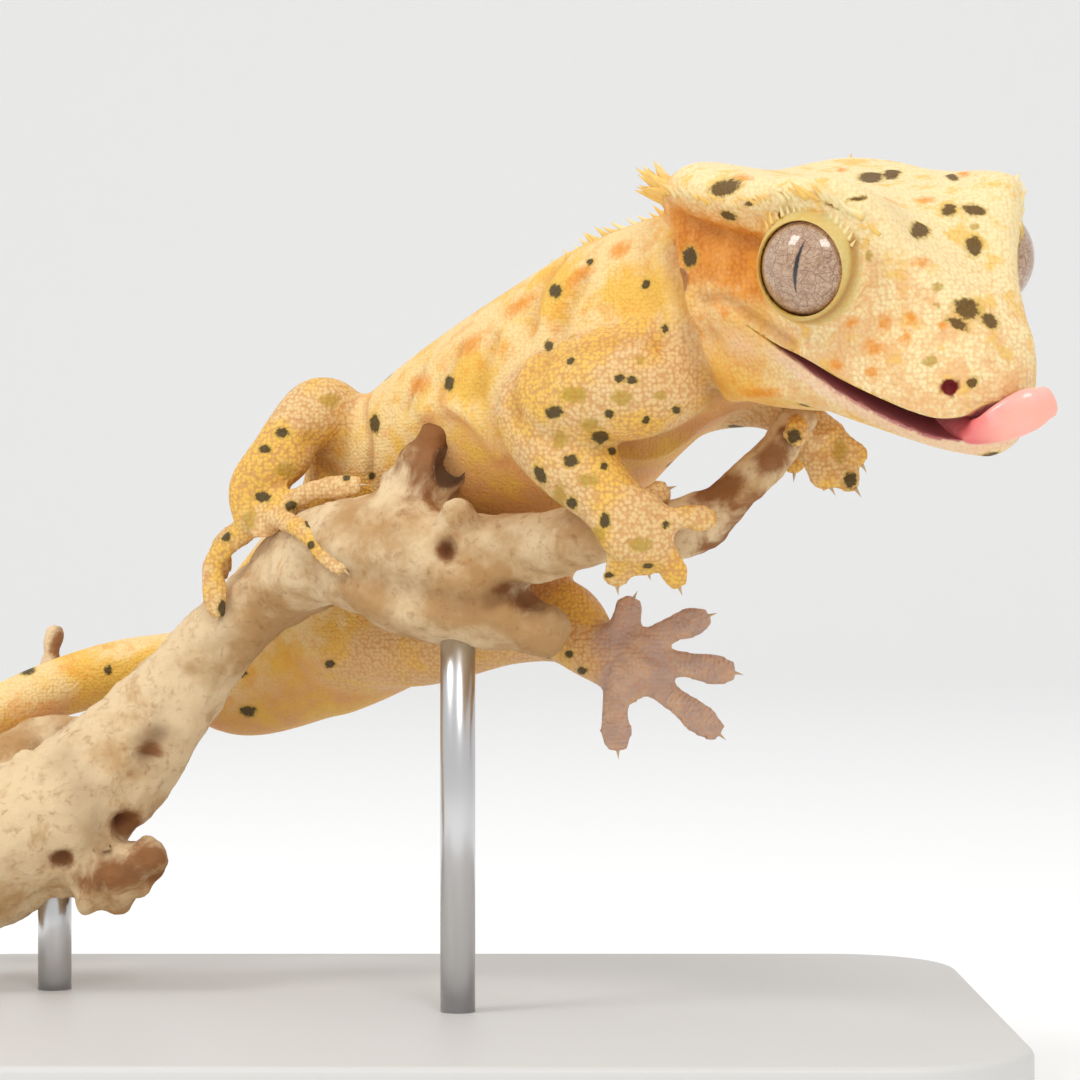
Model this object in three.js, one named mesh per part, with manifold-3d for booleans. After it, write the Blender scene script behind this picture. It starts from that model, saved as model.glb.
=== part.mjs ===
// Crested gecko on a cut length of driftwood, held by a plain display stand.
// Millimetres, +Z up. The animal looks along +X and a little towards -Y.
// The origin is the centre of the stand base's underside.
import * as THREE from 'three';
import { mergeVertices } from 'three/addons/utils/BufferGeometryUtils.js';
import Module from 'manifold-3d';

const wasm = await Module();
wasm.setup();

// Driving dimensions
const GAP = 0.3;                    // between touching pieces
const ANIMAL_AT = [12, -32, 51];    // the animal's own origin, seen from the base's centre
const HEAD_AT = [29.9, 0, 22.3];    // midpoint between the eyes
const HEAD_TURN = 54;               // degrees the head is turned to the side
const HEAD_NOD = -16;               // degrees the snout points below level
const HEAD_TILT = 5.2;              // degrees the head leans over
const EYE_RADIUS = 4.6;
const EYE_AT = [0, 8.9, 0.9];       // left eye's centre in the head's frame
const EYE_TURN = 22;                // degrees each eye looks forward
const LID_RADIUS = 4.0;
const LID_THICK = 0.75;
const BASE_SIZE = [108, 76, 8];
const BASE_CORNER = 12;
const BASE_EDGE = 0.8;
const ROD_RADIUS = 1.6;
const ROD_SIDES = 14;
const BODY_SIDES = 20;
const LIMB_SIDES = 12;
const LIMB_RINGS = 20;
const TOE_SIDES = 6;
const WOOD_SIDES = 14;
const SPINE_SIDES = 4;
const SPINE_SINK = 0.5;             // how deep a spine's root goes
const SPINE_WIDTH = 0.42;           // half width at the root
const SPINE_SEED = 7;
const CREST_SPINES = 13;            // along the rim on each side of the head
const CREST_SPAN = [-19.8, 5];      // where that row runs in the head's frame
const CREST_LENGTHS = [2.7, 0.9];   // at the back corner and over the eye
const BACK_SPINES = 25;             // in each of the two rows along the back
const BACK_SPAN = [0.055, 0.4];     // where those rows run on the body's path
const BACK_LENGTHS = [1.3, 0.6];    // on the neck and where the rows end
const BACK_ANGLE = 27;              // degrees from the spine to each row

// Skin and wood tones
const SKIN = new THREE.MeshStandardMaterial({ color: 0xe9c46c, roughness: 0.7 });
const MUZZLE = new THREE.MeshStandardMaterial({ color: 0xf0d79a, roughness: 0.7 });
const EYE_TONE = new THREE.MeshStandardMaterial({ color: 0x9b7f68, roughness: 0.1 });
const TONGUE_TONE = new THREE.MeshStandardMaterial({ color: 0xe07a80, roughness: 0.35 });
const WOOD_TONE = new THREE.MeshStandardMaterial({ color: 0xcfae85, roughness: 0.85 });
const BASE_TONE = new THREE.MeshStandardMaterial({ color: 0xeeece6, roughness: 0.5 });
const ROD_TONE = new THREE.MeshStandardMaterial({ color: 0xb9bbbd, roughness: 0.3, metalness: 1 });

const vec = (p) => new THREE.Vector3(...p);

function lerpTable(xs, ys, x) {
  const last = xs.length - 1;
  if (x <= xs[0]) return ys[0];
  if (x >= xs[last]) return ys[last];
  const i = xs.findIndex((v) => v > x) - 1;
  const before = ys[Math.max(i - 1, 0)];
  const after = ys[Math.min(i + 2, last)];
  const u = (x - xs[i]) / (xs[i + 1] - xs[i]);
  const a = (ys[i + 1] - before) / 2;
  const b = (after - ys[i]) / 2;
  const d = ys[i + 1] - ys[i];
  return ys[i] + u * (a + u * (3 * d - 2 * a - b + u * (a + b - 2 * d)));
}

// A closed body from rings of points, shut at both ends with a fan round a point
function ringsToGeometry(rings, startPoint, endPoint) {
  const n = rings[0].length;
  const positions = rings.flat().flatMap((p) => [p.x, p.y, p.z]);
  positions.push(startPoint.x, startPoint.y, startPoint.z, endPoint.x, endPoint.y, endPoint.z);
  const start = rings.length * n;
  const end = start + 1;
  const faces = [];
  for (let j = 0; j < n; j += 1) {
    const k = (j + 1) % n;
    for (let i = 0; i + 1 < rings.length; i += 1) {
      const a = i * n;
      const b = a + n;
      faces.push(a + j, b + j, a + k, b + j, b + k, a + k);
    }
    const top = (rings.length - 1) * n;
    faces.push(start, j, k, end, top + k, top + j);
  }
  const geometry = new THREE.BufferGeometry();
  geometry.setAttribute('position', new THREE.Float32BufferAttribute(positions, 3));
  geometry.setIndex(faces);
  return geometry;
}

function solid(geometry) {
  const bare = geometry.clone();
  bare.deleteAttribute('normal');
  bare.deleteAttribute('uv');
  const merged = mergeVertices(bare, 1e-4);
  const made = new wasm.Manifold(new wasm.Mesh({
    numProp: 3,
    vertProperties: new Float32Array(merged.attributes.position.array),
    triVerts: new Uint32Array(merged.index.array),
  }));
  return made;
}

function geometryOf(manifold) {
  const mesh = manifold.getMesh();
  const geometry = new THREE.BufferGeometry();
  geometry.setAttribute('position', new THREE.Float32BufferAttribute(mesh.vertProperties, 3));
  geometry.setIndex(Array.from(mesh.triVerts));
  geometry.computeVertexNormals();
  return geometry;
}

// Random numbers that are the same each time
function seeded(seed) {
  let state = seed;
  return () => {
    state = (state * 16807) % 2147483647;
    return state / 2147483647;
  };
}

const chance = seeded(SPINE_SEED);
const jitter = (size) => (chance() - 0.5) * 2 * size;

const join = (pieces) => pieces.reduce((all, piece) => all.add(piece));

// The largest closed surface of a cut piece
function largest(manifold) {
  const parts = manifold.decompose();
  return parts.reduce((best, part) => (part.volume() > best.volume() ? part : best));
}

// A small cone whose root is sunk in the skin
function spine(at, direction, length) {
  const cone = new THREE.ConeGeometry(SPINE_WIDTH, length + SPINE_SINK, SPINE_SIDES);
  cone.translate(0, (length - SPINE_SINK) / 2, 0);
  const upright = new THREE.Vector3(0, 1, 0);
  cone.applyQuaternion(new THREE.Quaternion().setFromUnitVectors(upright, direction.clone().normalize()));
  return solid(cone.translate(at.x, at.y, at.z));
}

// The part of a body on the far side of a plane, half a gap from it
function beyond(manifold, point, direction) {
  const normal = direction.clone().normalize();
  return largest(manifold.trimByPlane(normal.toArray(), normal.dot(point) + GAP / 2));
}

// A body swept along a smooth path. Each station holds its place, half width,
// height above and below the path, and the roll of the section in degrees.
class Sweep {
  constructor(stations, { reference = [0, 0, 1], sides = LIMB_SIDES, square = 2.2, rough = 0 } = {}) {
    this.stations = stations;
    this.curve = new THREE.CatmullRomCurve3(stations.map((s) => vec(s)), false, 'centripetal');
    this.reference = vec(reference);
    this.sides = sides;
    this.square = square;
    this.rough = rough;
    this.knots = stations.map((_, i) => i / (stations.length - 1));
  }

  value(column, t) {
    return lerpTable(this.knots, this.stations.map((s) => s[column]), t);
  }

  frame(t) {
    const along = this.curve.getTangent(t);
    const level = this.reference.clone().addScaledVector(along, -this.reference.dot(along)).normalize();
    const roll = THREE.MathUtils.degToRad(this.value(6, t));
    const up = level.applyAxisAngle(along, roll);
    const side = new THREE.Vector3().crossVectors(along, up);
    return { at: this.curve.getPoint(t), along, up, side };
  }

  point(t, angle, grow = 0, shrink = 1, shift = 0) {
    const { at, along, up, side } = this.frame(t);
    const round = (v) => Math.sign(v) * Math.abs(v) ** (2 / this.square);
    const c = round(Math.cos(angle));
    const s = round(Math.sin(angle));
    const height = s > 0 ? this.value(4, t) : this.value(5, t);
    const bump = 1 + this.rough * (Math.sin(3 * angle + 17 * t) + Math.sin(2 * angle - 29 * t));
    return at.addScaledVector(side, c * (this.value(3, t) * bump + grow) * shrink)
      .addScaledVector(up, s * (height * bump + grow) * shrink)
      .addScaledVector(along, shift);
  }

  ring(t, grow, shrink, shift) {
    return Array.from({ length: this.sides }, (_, j) => (
      this.point(t, (2 * Math.PI * j) / this.sides, grow, shrink, shift)
    ));
  }

  // The solid of the whole path, with round ends
  solid(rings, grow = 0) {
    const list = [];
    const capSteps = [0.35, 0.75];
    const startReach = Math.min(this.value(3, 0), this.value(4, 0)) + grow;
    const endReach = Math.min(this.value(3, 1), this.value(4, 1)) + grow;
    [...capSteps].reverse().forEach((u) => {
      list.push(this.ring(0, grow, Math.cos(u * Math.PI / 2), -startReach * Math.sin(u * Math.PI / 2)));
    });
    for (let i = 0; i <= rings; i += 1) list.push(this.ring(i / rings, grow, 1, 0));
    capSteps.forEach((u) => {
      list.push(this.ring(1, grow, Math.cos(u * Math.PI / 2), endReach * Math.sin(u * Math.PI / 2)));
    });
    const first = this.frame(0);
    const last = this.frame(1);
    return solid(ringsToGeometry(
      list,
      first.at.addScaledVector(first.along, -startReach),
      last.at.addScaledVector(last.along, endReach),
    ));
  }

  // Cuts a body made on this path at the given places, first length first
  split(body, cuts) {
    const planes = cuts.map((t) => this.frame(t));
    return [...cuts, 1].map((_, i) => {
      let piece = body;
      if (i < cuts.length) piece = beyond(piece, planes[i].at, planes[i].along.clone().negate());
      if (i > 0) piece = beyond(piece, planes[i - 1].at, planes[i - 1].along);
      return piece;
    });
  }
}

const round = (x, y, z, r) => [x, y, z, r, r, r, 0];
const flat = (x, y, z, wide, thick) => [x, y, z, wide, thick, thick, 0];
const FACING = [0, -1, 0.2];

// Head, in its own frame: x towards the snout, y to the animal's left, z up
const headTurn = new THREE.Matrix4().makeRotationFromEuler(new THREE.Euler(
  THREE.MathUtils.degToRad(HEAD_TILT),
  THREE.MathUtils.degToRad(-HEAD_NOD),
  THREE.MathUtils.degToRad(-HEAD_TURN),
  'ZYX',
));
const headMatrix = headTurn.clone().setPosition(vec(HEAD_AT));
const fromHead = (p) => vec(p).applyMatrix4(headMatrix);
const headAxis = (p) => vec(p).transformDirection(headMatrix);

const HEAD_X = [-20.5, -18, -14, -9, -5, -1, 3, 7, 11, 14, 15.6];
const TOP = [4.6, 5.4, 6.0, 6.2, 6.2, 6.0, 4.9, 2.8, 0.4, -2.2, -4.6];
const CREST = {
  y: [7.6, 9.2, 10.6, 10.5, 10.2, 9.2, 7.2, 5.2, 3.6, 2.6, 1.2],
  z: [4.6, 5.6, 6.3, 6.6, 6.9, 6.9, 5.2, 2.7, 0.2, -2.4, -4.8],
};
const BRIM = {
  y: [9.2, 11.6, 13.0, 12.6, 12.2, 11.0, 8.6, 6.1, 4.4, 3.3, 1.7],
  z: [2.0, 3.8, 4.4, 4.6, 5.2, 5.9, 4.0, 1.4, -1.4, -3.6, -5.4],
};
const TEMPLE = {
  y: [9.6, 10.5, 11.2, 10.8, 10.4, 9.8, 7.8, 6.0, 4.6, 3.6, 1.9],
  z: [-1.0, 1.0, 1.6, 2.0, 2.6, 3.6, 1.6, -0.8, -3.4, -5.0, -6.2],
};
const CHEEK = {
  y: [9.6, 10.6, 11.4, 11.4, 10.6, 9.8, 8.6, 7.2, 5.6, 3.8, 1.9],
  z: [-6.0, -5.0, -4.2, -3.6, -3.2, -2.8, -3.4, -4.6, -6.0, -6.8, -7.0],
};
const LIP = {
  y: [8.6, 9.6, 10.6, 10.9, 10.2, 9.4, 8.5, 7.2, 5.5, 3.4, 1.6],
  z: [-9.6, -9.2, -8.0, -6.6, -6.2, -6.9, -7.9, -9.0, -9.9, -9.6, -8.4],
};
const JAW = {
  y: [6.6, 7.4, 8.4, 9.0, 8.6, 7.9, 7.1, 5.9, 4.4, 2.5, 1.1],
  z: [-12.0, -12.2, -12.2, -11.6, -10.8, -10.6, -10.9, -11.2, -11.5, -11.2, -10.0],
};
const THROAT = [-13.2, -14.0, -14.4, -14.0, -13.2, -12.5, -12.3, -12.5, -12.6, -12.2, -10.8];
const SNOUT_TIP = [16.3, 0, -7.4];
const HEAD_RINGS = 22;
const HEAD_POINTS = 28;
const UPPER_LIP = [[-6, -5.3], [-3, -6.2], [0.7, -6.9], [3.8, -7.7], [6.7, -8.3], [10.6, -9],
  [12.3, -9.1], [13.8, -8.6], [15, -7.4], [17, -6.6]];
const LOWER_LIP = [[17, -9.2], [15.8, -9.4], [13.8, -10.6], [11.9, -10.8], [9.6, -10.4],
  [5.8, -9.5], [2.1, -8.4], [-1.2, -7.2], [-3, -6.5]];
const JAW_BACK = -6;

function headRing(x, grow) {
  const at = (row) => [lerpTable(HEAD_X, row.y, x), lerpTable(HEAD_X, row.z, x)];
  const left = [CREST, BRIM, TEMPLE, CHEEK, LIP, JAW].map(at);
  const top = [0, lerpTable(HEAD_X, TOP, x)];
  const bottom = [0, lerpTable(HEAD_X, THROAT, x)];
  const mirrored = left.map(([y, z]) => [-y, z]).reverse();
  const outline = [top, ...left, bottom, ...mirrored];
  const middle = (top[1] + bottom[1]) / 2;
  const curve = new THREE.CatmullRomCurve3(outline.map(([y, z]) => {
    const away = Math.hypot(y, z - middle);
    const k = 1 + grow / away;
    return new THREE.Vector3(x, y * k, middle + (z - middle) * k);
  }), true, 'centripetal');
  return Array.from({ length: HEAD_POINTS }, (_, j) => (
    curve.getPoint(j / HEAD_POINTS).applyMatrix4(headMatrix)
  ));
}

function headSolid(grow = 0) {
  const back = HEAD_X[0];
  const front = HEAD_X.at(-1);
  const rings = Array.from({ length: HEAD_RINGS + 1 }, (_, i) => (
    headRing(back + ((front - back) * i) / HEAD_RINGS, grow)
  ));
  const behind = fromHead([back - grow, 0, -4]);
  const tip = fromHead([SNOUT_TIP[0] + grow, SNOUT_TIP[1], SNOUT_TIP[2]]);
  const made = ringsToGeometry(rings, behind, tip);
  return solid(made);
}

function sphere(centre, radius, across, down) {
  return solid(new THREE.SphereGeometry(radius, across, down).translate(centre.x, centre.y, centre.z));
}

function eyeAxis(sideSign) {
  const turn = THREE.MathUtils.degToRad(EYE_TURN);
  return headAxis([Math.sin(turn), sideSign * Math.cos(turn), 0.05]);
}

function lidRing(sideSign) {
  const axis = eyeAxis(sideSign);
  const rise = Math.sqrt(EYE_RADIUS ** 2 - LID_RADIUS ** 2);
  const ring = new THREE.TorusGeometry(LID_RADIUS, LID_THICK, 6, 18);
  ring.applyQuaternion(new THREE.Quaternion().setFromUnitVectors(new THREE.Vector3(0, 0, 1), axis));
  const at = fromHead([EYE_AT[0], sideSign * EYE_AT[1], EYE_AT[2]]).addScaledVector(axis, rise);
  return solid(ring.translate(at.x, at.y, at.z));
}

function mouthCutter() {
  const outline = [...UPPER_LIP, ...LOWER_LIP, [JAW_BACK + GAP, -5.8], [JAW_BACK + GAP, -20], [JAW_BACK, -20]];
  const shape = new THREE.Shape(outline.map(([x, z]) => new THREE.Vector2(x, z)));
  const reach = 16;
  const slab = new THREE.ExtrudeGeometry(shape, { depth: 2 * reach, bevelEnabled: false });
  slab.rotateX(Math.PI / 2).translate(0, reach, 0).applyMatrix4(headMatrix);
  return solid(slab);
}

// The row of spines along the rim on one side of the head, longest at the back corner
function crestSpines(sideSign) {
  return Array.from({ length: CREST_SPINES }, (_, i) => {
    const u = i / (CREST_SPINES - 1);
    const x = CREST_SPAN[0] + (CREST_SPAN[1] - CREST_SPAN[0]) * u ** 1.3;
    const rim = fromHead([x, sideSign * lerpTable(HEAD_X, BRIM.y, x), lerpTable(HEAD_X, BRIM.z, x)]);
    const direction = headAxis([-0.35 + jitter(0.15), sideSign * 0.8, 0.6 + jitter(0.15)]);
    const corner = Math.exp(-((u / 0.2) ** 2));
    const length = CREST_LENGTHS[1] + (CREST_LENGTHS[0] - CREST_LENGTHS[1]) * corner;
    return spine(rim, direction, length * (1 + jitter(0.25)));
  });
}

function headAndJaw() {
  let whole = join([headSolid(), lidRing(1), lidRing(-1), ...crestSpines(1), ...crestSpines(-1)]);
  [1, -1].forEach((sideSign) => {
    const eye = fromHead([EYE_AT[0], sideSign * EYE_AT[1], EYE_AT[2]]);
    whole = whole.subtract(sphere(eye, EYE_RADIUS + GAP, 18, 11));
    whole = whole.subtract(sphere(fromHead([12.9, sideSign * 4.7, -6.4]), 0.6, 8, 6));
    whole = whole.subtract(sphere(fromHead([-14.5, sideSign * 12.2, -2.2]), 1.4, 10, 8));
  });
  const parts = whole.subtract(mouthCutter()).decompose().sort((a, b) => b.volume() - a.volume());
  return { head: parts[0], jaw: parts[1] };
}

// Neck, trunk and tail on one path: place, half width, height up and down, roll
const body = new Sweep([
  [22.0, 11.3, 25.0, 9.4, 5.5, 10.0, 0],
  [17.9, 13.5, 22.9, 9.0, 6.8, 9.6, 0],
  [13.2, 16.5, 20.9, 9.0, 8.0, 9.6, 4],
  [8.1, 21.0, 17.5, 10.0, 9.3, 9.8, 15],
  [0.0, 31.0, 11.1, 11.8, 9.0, 9.0, 40],
  [-8.1, 42.0, 3.8, 13.0, 8.5, 8.2, 58],
  [-16.3, 51.0, -3.7, 11.4, 7.8, 7.8, 68],
  [-24.0, 56.5, -9.5, 9.3, 6.8, 7.0, 75],
  [-30.3, 59.5, -13.6, 6.3, 5.2, 5.4, 75],
  [-36.4, 60.5, -13.2, 4.0, 3.8, 3.8, 70],
  [-42.5, 60.5, -13.4, 3.2, 3.1, 3.1, 60],
  [-48.4, 59.5, -14.9, 2.9, 2.8, 2.8, 50],
  [-54.2, 58.0, -17.3, 2.8, 2.6, 2.6, 40],
  [-63.0, 57.0, -21.5, 2.6, 2.4, 2.4, 30],
  [-71.0, 58.0, -26.0, 2.4, 2.2, 2.2, 20],
  [-77.5, 61.5, -28.6, 2.2, 2.0, 2.0, 10],
  [-81.0, 67.0, -29.6, 2.0, 1.8, 1.8, 0],
  [-81.0, 73.0, -29.2, 1.8, 1.6, 1.6, 0],
  [-77.0, 77.0, -28.2, 1.6, 1.3, 1.3, 0],
  [-72.0, 77.5, -27.2, 1.5, 1.1, 1.1, 0],
  [-69.0, 74.5, -26.4, 1.6, 0.9, 0.9, 0],
  [-69.0, 71.0, -26.0, 1.3, 0.7, 0.7, 0],
], { sides: BODY_SIDES, square: 2.3 });
const BODY_RINGS = 60;
const BODY_CUTS = [0.118, 0.245, 0.385, 0.575, 0.77];

// Driftwood perch
const stem = new Sweep([
  round(-60.5, 42, -32.6, 7.2),
  round(-56.1, 42, -30.9, 7.2),
  round(-50.8, 42, -28.6, 7.0),
  round(-45.0, 42, -25.4, 6.6),
  round(-39.9, 43, -20.7, 5.6),
  round(-36.1, 43.5, -15.9, 4.8),
  round(-31.3, 43, -10.1, 3.8),
  round(-25.9, 41, -5.2, 3.9),
  round(-19.9, 36, -1.4, 5.0),
  round(-13.0, 29.5, -2.0, 5.9),
  round(-7.8, 27, -4.0, 5.6),
  round(-3.2, 25.5, -6.6, 3.6),
  round(0.3, 24, -8.3, 2.2),
], { reference: FACING, sides: WOOD_SIDES, square: 2, rough: 0.035 });
const limb = new Sweep([
  round(-7.8, 27, -1.8, 4.4),
  round(-1.8, 23, -0.7, 3.2),
  round(5.3, 18, 0.4, 2.8),
  round(10.5, 14.5, 0.9, 2.7),
  round(14.0, 13.2, 1.6, 2.6),
  round(17.8, 13.5, 4.6, 2.1),
  round(20.9, 14.5, 8.2, 1.8),
  round(22.6, 15, 10.4, 1.6),
], { reference: FACING, sides: 12, square: 2, rough: 0.04 });
const brokenStub = new Sweep([
  round(-13.5, 31, 1.4, 2.6),
  round(-11.8, 29.5, 5.6, 2.6),
  round(-8.9, 28, 9.4, 2.8),
], { reference: FACING, sides: 10, square: 2, rough: 0.05 });
const smallStub = new Sweep([
  round(-9.2, 26, -0.5, 1.6),
  round(-7.1, 23.5, 2.4, 1.1),
], { reference: FACING, sides: 8, square: 2 });
const knob = new Sweep([
  round(-13.6, 29, 0.9, 2.2),
  round(-13.3, 28.5, 4.2, 1.5),
], { reference: FACING, sides: 8, square: 2 });
const bark = new Sweep([
  [-45.0, 41, -30.2, 3.2, 3.4, 3.4, 0],
  [-41.0, 39.5, -31.8, 3.6, 3.2, 3.2, 0],
  [-37.0, 38.5, -30.4, 1.9, 2.2, 2.2, 0],
], { reference: FACING, sides: 10, square: 2, rough: 0.12 });
const fork = new Sweep([
  round(-52.0, 46, -25.5, 3.2),
  round(-52.2, 50, -22.2, 2.8),
  round(-48.7, 52.5, -19.6, 2.3),
  round(-44.1, 52.5, -18.6, 1.5),
], { reference: FACING, sides: 10, square: 2, rough: 0.05 });
const twig = new Sweep([
  round(-50.4, 52, -20.6, 1.5),
  round(-50.6, 57, -19.8, 1.3),
  round(-50.4, 64, -16.2, 1.1),
  round(-50.2, 67, -9.6, 1.1),
], { reference: [1, 0, 0], sides: 8, square: 2 });

function stemSolid(grow) {
  const pieces = [
    stem.solid(26, grow),
    brokenStub.solid(6, grow),
    smallStub.solid(3, grow),
    knob.solid(3, grow),
    bark.solid(5, grow),
  ];
  return join(pieces);
}

const CUT_END = vec([-60.5, 42, -32.6]);
const CUT_DIRECTION = vec([1, 0, 0.4]);
const stemGrown = stemSolid(GAP);
const limbGrown = limb.solid(12, GAP);
const perchGrown = join([stemGrown, limbGrown, fork.solid(7, GAP), twig.solid(7, GAP)]);
const bodyGrown = body.solid(BODY_RINGS, GAP);
const headGrown = headSolid(GAP);

// Limbs, from the root inside the trunk to the middle of the palm or sole
const rightArm = new Sweep([
  round(13.0, 13.5, 16.6, 5.0),
  round(8.6, 10.2, 13.8, 5.0),
  round(3.5, 11.0, 12.9, 4.6),
  round(0.2, 14.5, 11.2, 4.2),
  round(3.0, 12.5, 7.0, 3.9),
  round(6.0, 10.4, 3.4, 2.8),
  flat(8.2, 9.2, 1.2, 3.4, 1.7),
  flat(10.2, 9.4, 0.2, 2.8, 1.2),
], { reference: FACING });
const leftArm = new Sweep([
  round(13.6, 25, 15.8, 4.2),
  round(10.8, 26, 8.8, 3.5),
  round(14.6, 23, 8.2, 2.9),
  round(18.4, 19.5, 9.0, 2.3),
  round(21.4, 17.4, 9.9, 1.9),
  flat(23.8, 16.6, 9.6, 2.8, 1.2),
  flat(25.6, 16.2, 8.6, 2.2, 1.0),
], { reference: FACING });
const rightLeg = new Sweep([
  round(-20.6, 49, -2.0, 5.4),
  round(-19.6, 45.5, 5.0, 3.5),
  round(-19.3, 42, 11.8, 3.0),
  round(-21.2, 40, 12.4, 3.0),
  round(-24.6, 38.8, 8.0, 2.9),
  round(-27.4, 38.6, 5.0, 2.1),
  flat(-26.6, 37.9, 2.8, 2.6, 1.5),
  flat(-24.8, 36.6, 2.6, 2.3, 1.1),
], { reference: FACING });
const leftLeg = new Sweep([
  round(-19.8, 51, -9.4, 5.2),
  round(-11.0, 44, -9.4, 4.6),
  round(-3.0, 39, -7.4, 4.4),
  round(2.0, 34.5, -7.6, 3.9),
  round(5.2, 30.6, -10.2, 2.8),
  flat(7.6, 28.4, -10.8, 3.4, 1.5),
  flat(9.2, 27.8, -11.2, 2.6, 1.2),
], { reference: FACING });

// Toes: each runs from the palm over a middle point to the tip, with a pad before the claw
function toe([root, middle, tip], padWidth) {
  const thick = padWidth * 0.55;
  const direction = vec(tip).sub(vec(middle)).normalize();
  const claw = vec(tip).addScaledVector(direction, padWidth * 1.2);
  const pad = vec(middle).lerp(vec(tip), 0.6).toArray();
  return new Sweep([
    flat(...root, padWidth * 0.8, thick),
    flat(...middle, padWidth * 0.75, thick),
    flat(...pad, padWidth, thick * 0.9),
    flat(...tip, padWidth * 0.6, thick * 0.6),
    flat(claw.x, claw.y, claw.z, 0.16, 0.16),
  ], { reference: FACING, sides: TOE_SIDES, square: 2 }).solid(5);
}

const RIGHT_HAND_TOES = [
  [[8.4, 10.0, 2.6], [10.0, 11.4, 4.0], [11.0, 12.0, 4.4]],
  [[9.6, 9.0, 1.6], [12.4, 9.2, 2.0], [15.0, 9.4, 1.8]],
  [[10.0, 9.2, 0.4], [11.3, 9.6, -1.8], [12.0, 10.6, -3.9]],
  [[8.8, 9.2, 0.0], [9.2, 10.2, -1.9], [9.4, 11.2, -2.8]],
  [[7.0, 9.6, 0.4], [6.6, 10.4, -2.2], [6.7, 11.4, -3.9]],
];
const LEFT_HAND_TOES = [
  [[23.2, 15.8, 10.0], [22.4, 12.6, 10.0], [22.2, 12.4, 8.4]],
  [[24.2, 16.2, 8.8], [24.2, 15.6, 6.6], [25.4, 15.2, 4.8]],
  [[25.4, 16.0, 8.4], [26.4, 15.4, 6.2], [27.6, 15.0, 4.6]],
  [[26.0, 16.0, 8.8], [27.4, 15.8, 8.0], [28.2, 15.6, 6.8]],
  [[23.0, 17.6, 9.4], [22.6, 18.6, 8.0], [22.6, 18.6, 6.2]],
];
const RIGHT_FOOT_TOES = [
  [[-25.4, 37.0, 2.9], [-20.6, 35.0, 4.8], [-16.8, 32.6, 5.1]],
  [[-25.2, 36.4, 2.2], [-20.8, 32.4, -0.4], [-18.4, 30.8, -2.0]],
  [[-27.0, 37.6, 1.8], [-31.0, 39.0, -2.2], [-30.6, 38.2, -7.2]],
  [[-25.6, 38.2, 2.6], [-23.0, 41.0, 3.2], [-20.6, 43.2, 2.6]],
  [[-27.2, 38.8, 1.8], [-30.6, 43.4, -0.4], [-31.2, 46.6, -3.6]],
];
const LEFT_FOOT_TOES = [
  [[6.6, 28.6, -9.6], [7.8, 28.6, -7.2], [8.5, 28.8, -5.6]],
  [[8.8, 28.0, -9.8], [12.0, 27.4, -8.2], [15.2, 27.2, -7.0]],
  [[9.2, 27.8, -10.9], [13.4, 27.2, -11.4], [17.6, 27.2, -12.1]],
  [[8.8, 27.8, -12.0], [12.6, 27.2, -14.8], [16.2, 27.0, -17.6]],
  [[7.2, 28.0, -12.2], [6.8, 27.4, -15.6], [7.1, 27.2, -19.0]],
];
const TOE_PAD = 1.25;
const LONG_TOE_PAD = 1.45;

// A limb in three lengths, cut clear of the trunk, the head and the perch
function limbNodes(sweep, cuts, toes, padWidth) {
  const whole = sweep.solid(LIMB_RINGS).subtract(bodyGrown).subtract(headGrown);
  const [upper, lower, palm] = sweep.split(whole, cuts);
  const wrist = sweep.frame(cuts[1]);
  const back = wrist.along.clone().negate();
  const armGrown = sweep.solid(LIMB_RINGS, GAP).trimByPlane(back.toArray(), back.dot(wrist.at) - 0.8 * GAP);
  const hand = join([palm, ...toes.map((path) => toe(path, padWidth).subtract(armGrown))]);
  const clear = (piece) => largest(piece.subtract(perchGrown).subtract(bodyGrown).subtract(headGrown));
  return [clear(upper), clear(lower), clear(hand)];
}

// The tongue comes out between the lips on the near side and curls up over the snout
function tongueSolid() {
  const path = new Sweep([
    [8.0, -0.8, -9.7, 1.2, 0.5, 0.5, 0],
    [12.5, -2.0, -10.1, 1.1, 0.6, 0.6, 0],
    [15.0, -2.7, -9.6, 1.1, 0.7, 0.7, 0],
    [16.7, -1.7, -8.4, 1.6, 0.8, 0.8, 0],
    [17.6, -0.1, -7.3, 1.7, 0.8, 0.8, 0],
    [18.0, 1.3, -6.7, 1.3, 0.7, 0.7, 0],
  ], { reference: [0.787, -0.555, 0.269], sides: 10, square: 2.4 });
  return path.solid(12).transform(headMatrix.toArray());
}

function roundedPlate(length, width, height, corner) {
  const shape = new THREE.Shape();
  const x = length / 2 - BASE_EDGE;
  const y = width / 2 - BASE_EDGE;
  shape.moveTo(-x + corner, -y);
  shape.lineTo(x - corner, -y);
  shape.absarc(x - corner, -y + corner, corner, -Math.PI / 2, 0);
  shape.lineTo(x, y - corner);
  shape.absarc(x - corner, y - corner, corner, 0, Math.PI / 2);
  shape.lineTo(-x + corner, y);
  shape.absarc(-x + corner, y - corner, corner, Math.PI / 2, Math.PI);
  shape.lineTo(-x, -y + corner);
  shape.absarc(-x + corner, -y + corner, corner, Math.PI, 1.5 * Math.PI);
  const plate = new THREE.ExtrudeGeometry(shape, {
    depth: height - 2 * BASE_EDGE,
    bevelThickness: BASE_EDGE,
    bevelSize: BASE_EDGE,
    bevelSegments: 2,
    curveSegments: 3,
  });
  return plate.translate(0, 0, BASE_EDGE);
}

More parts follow.
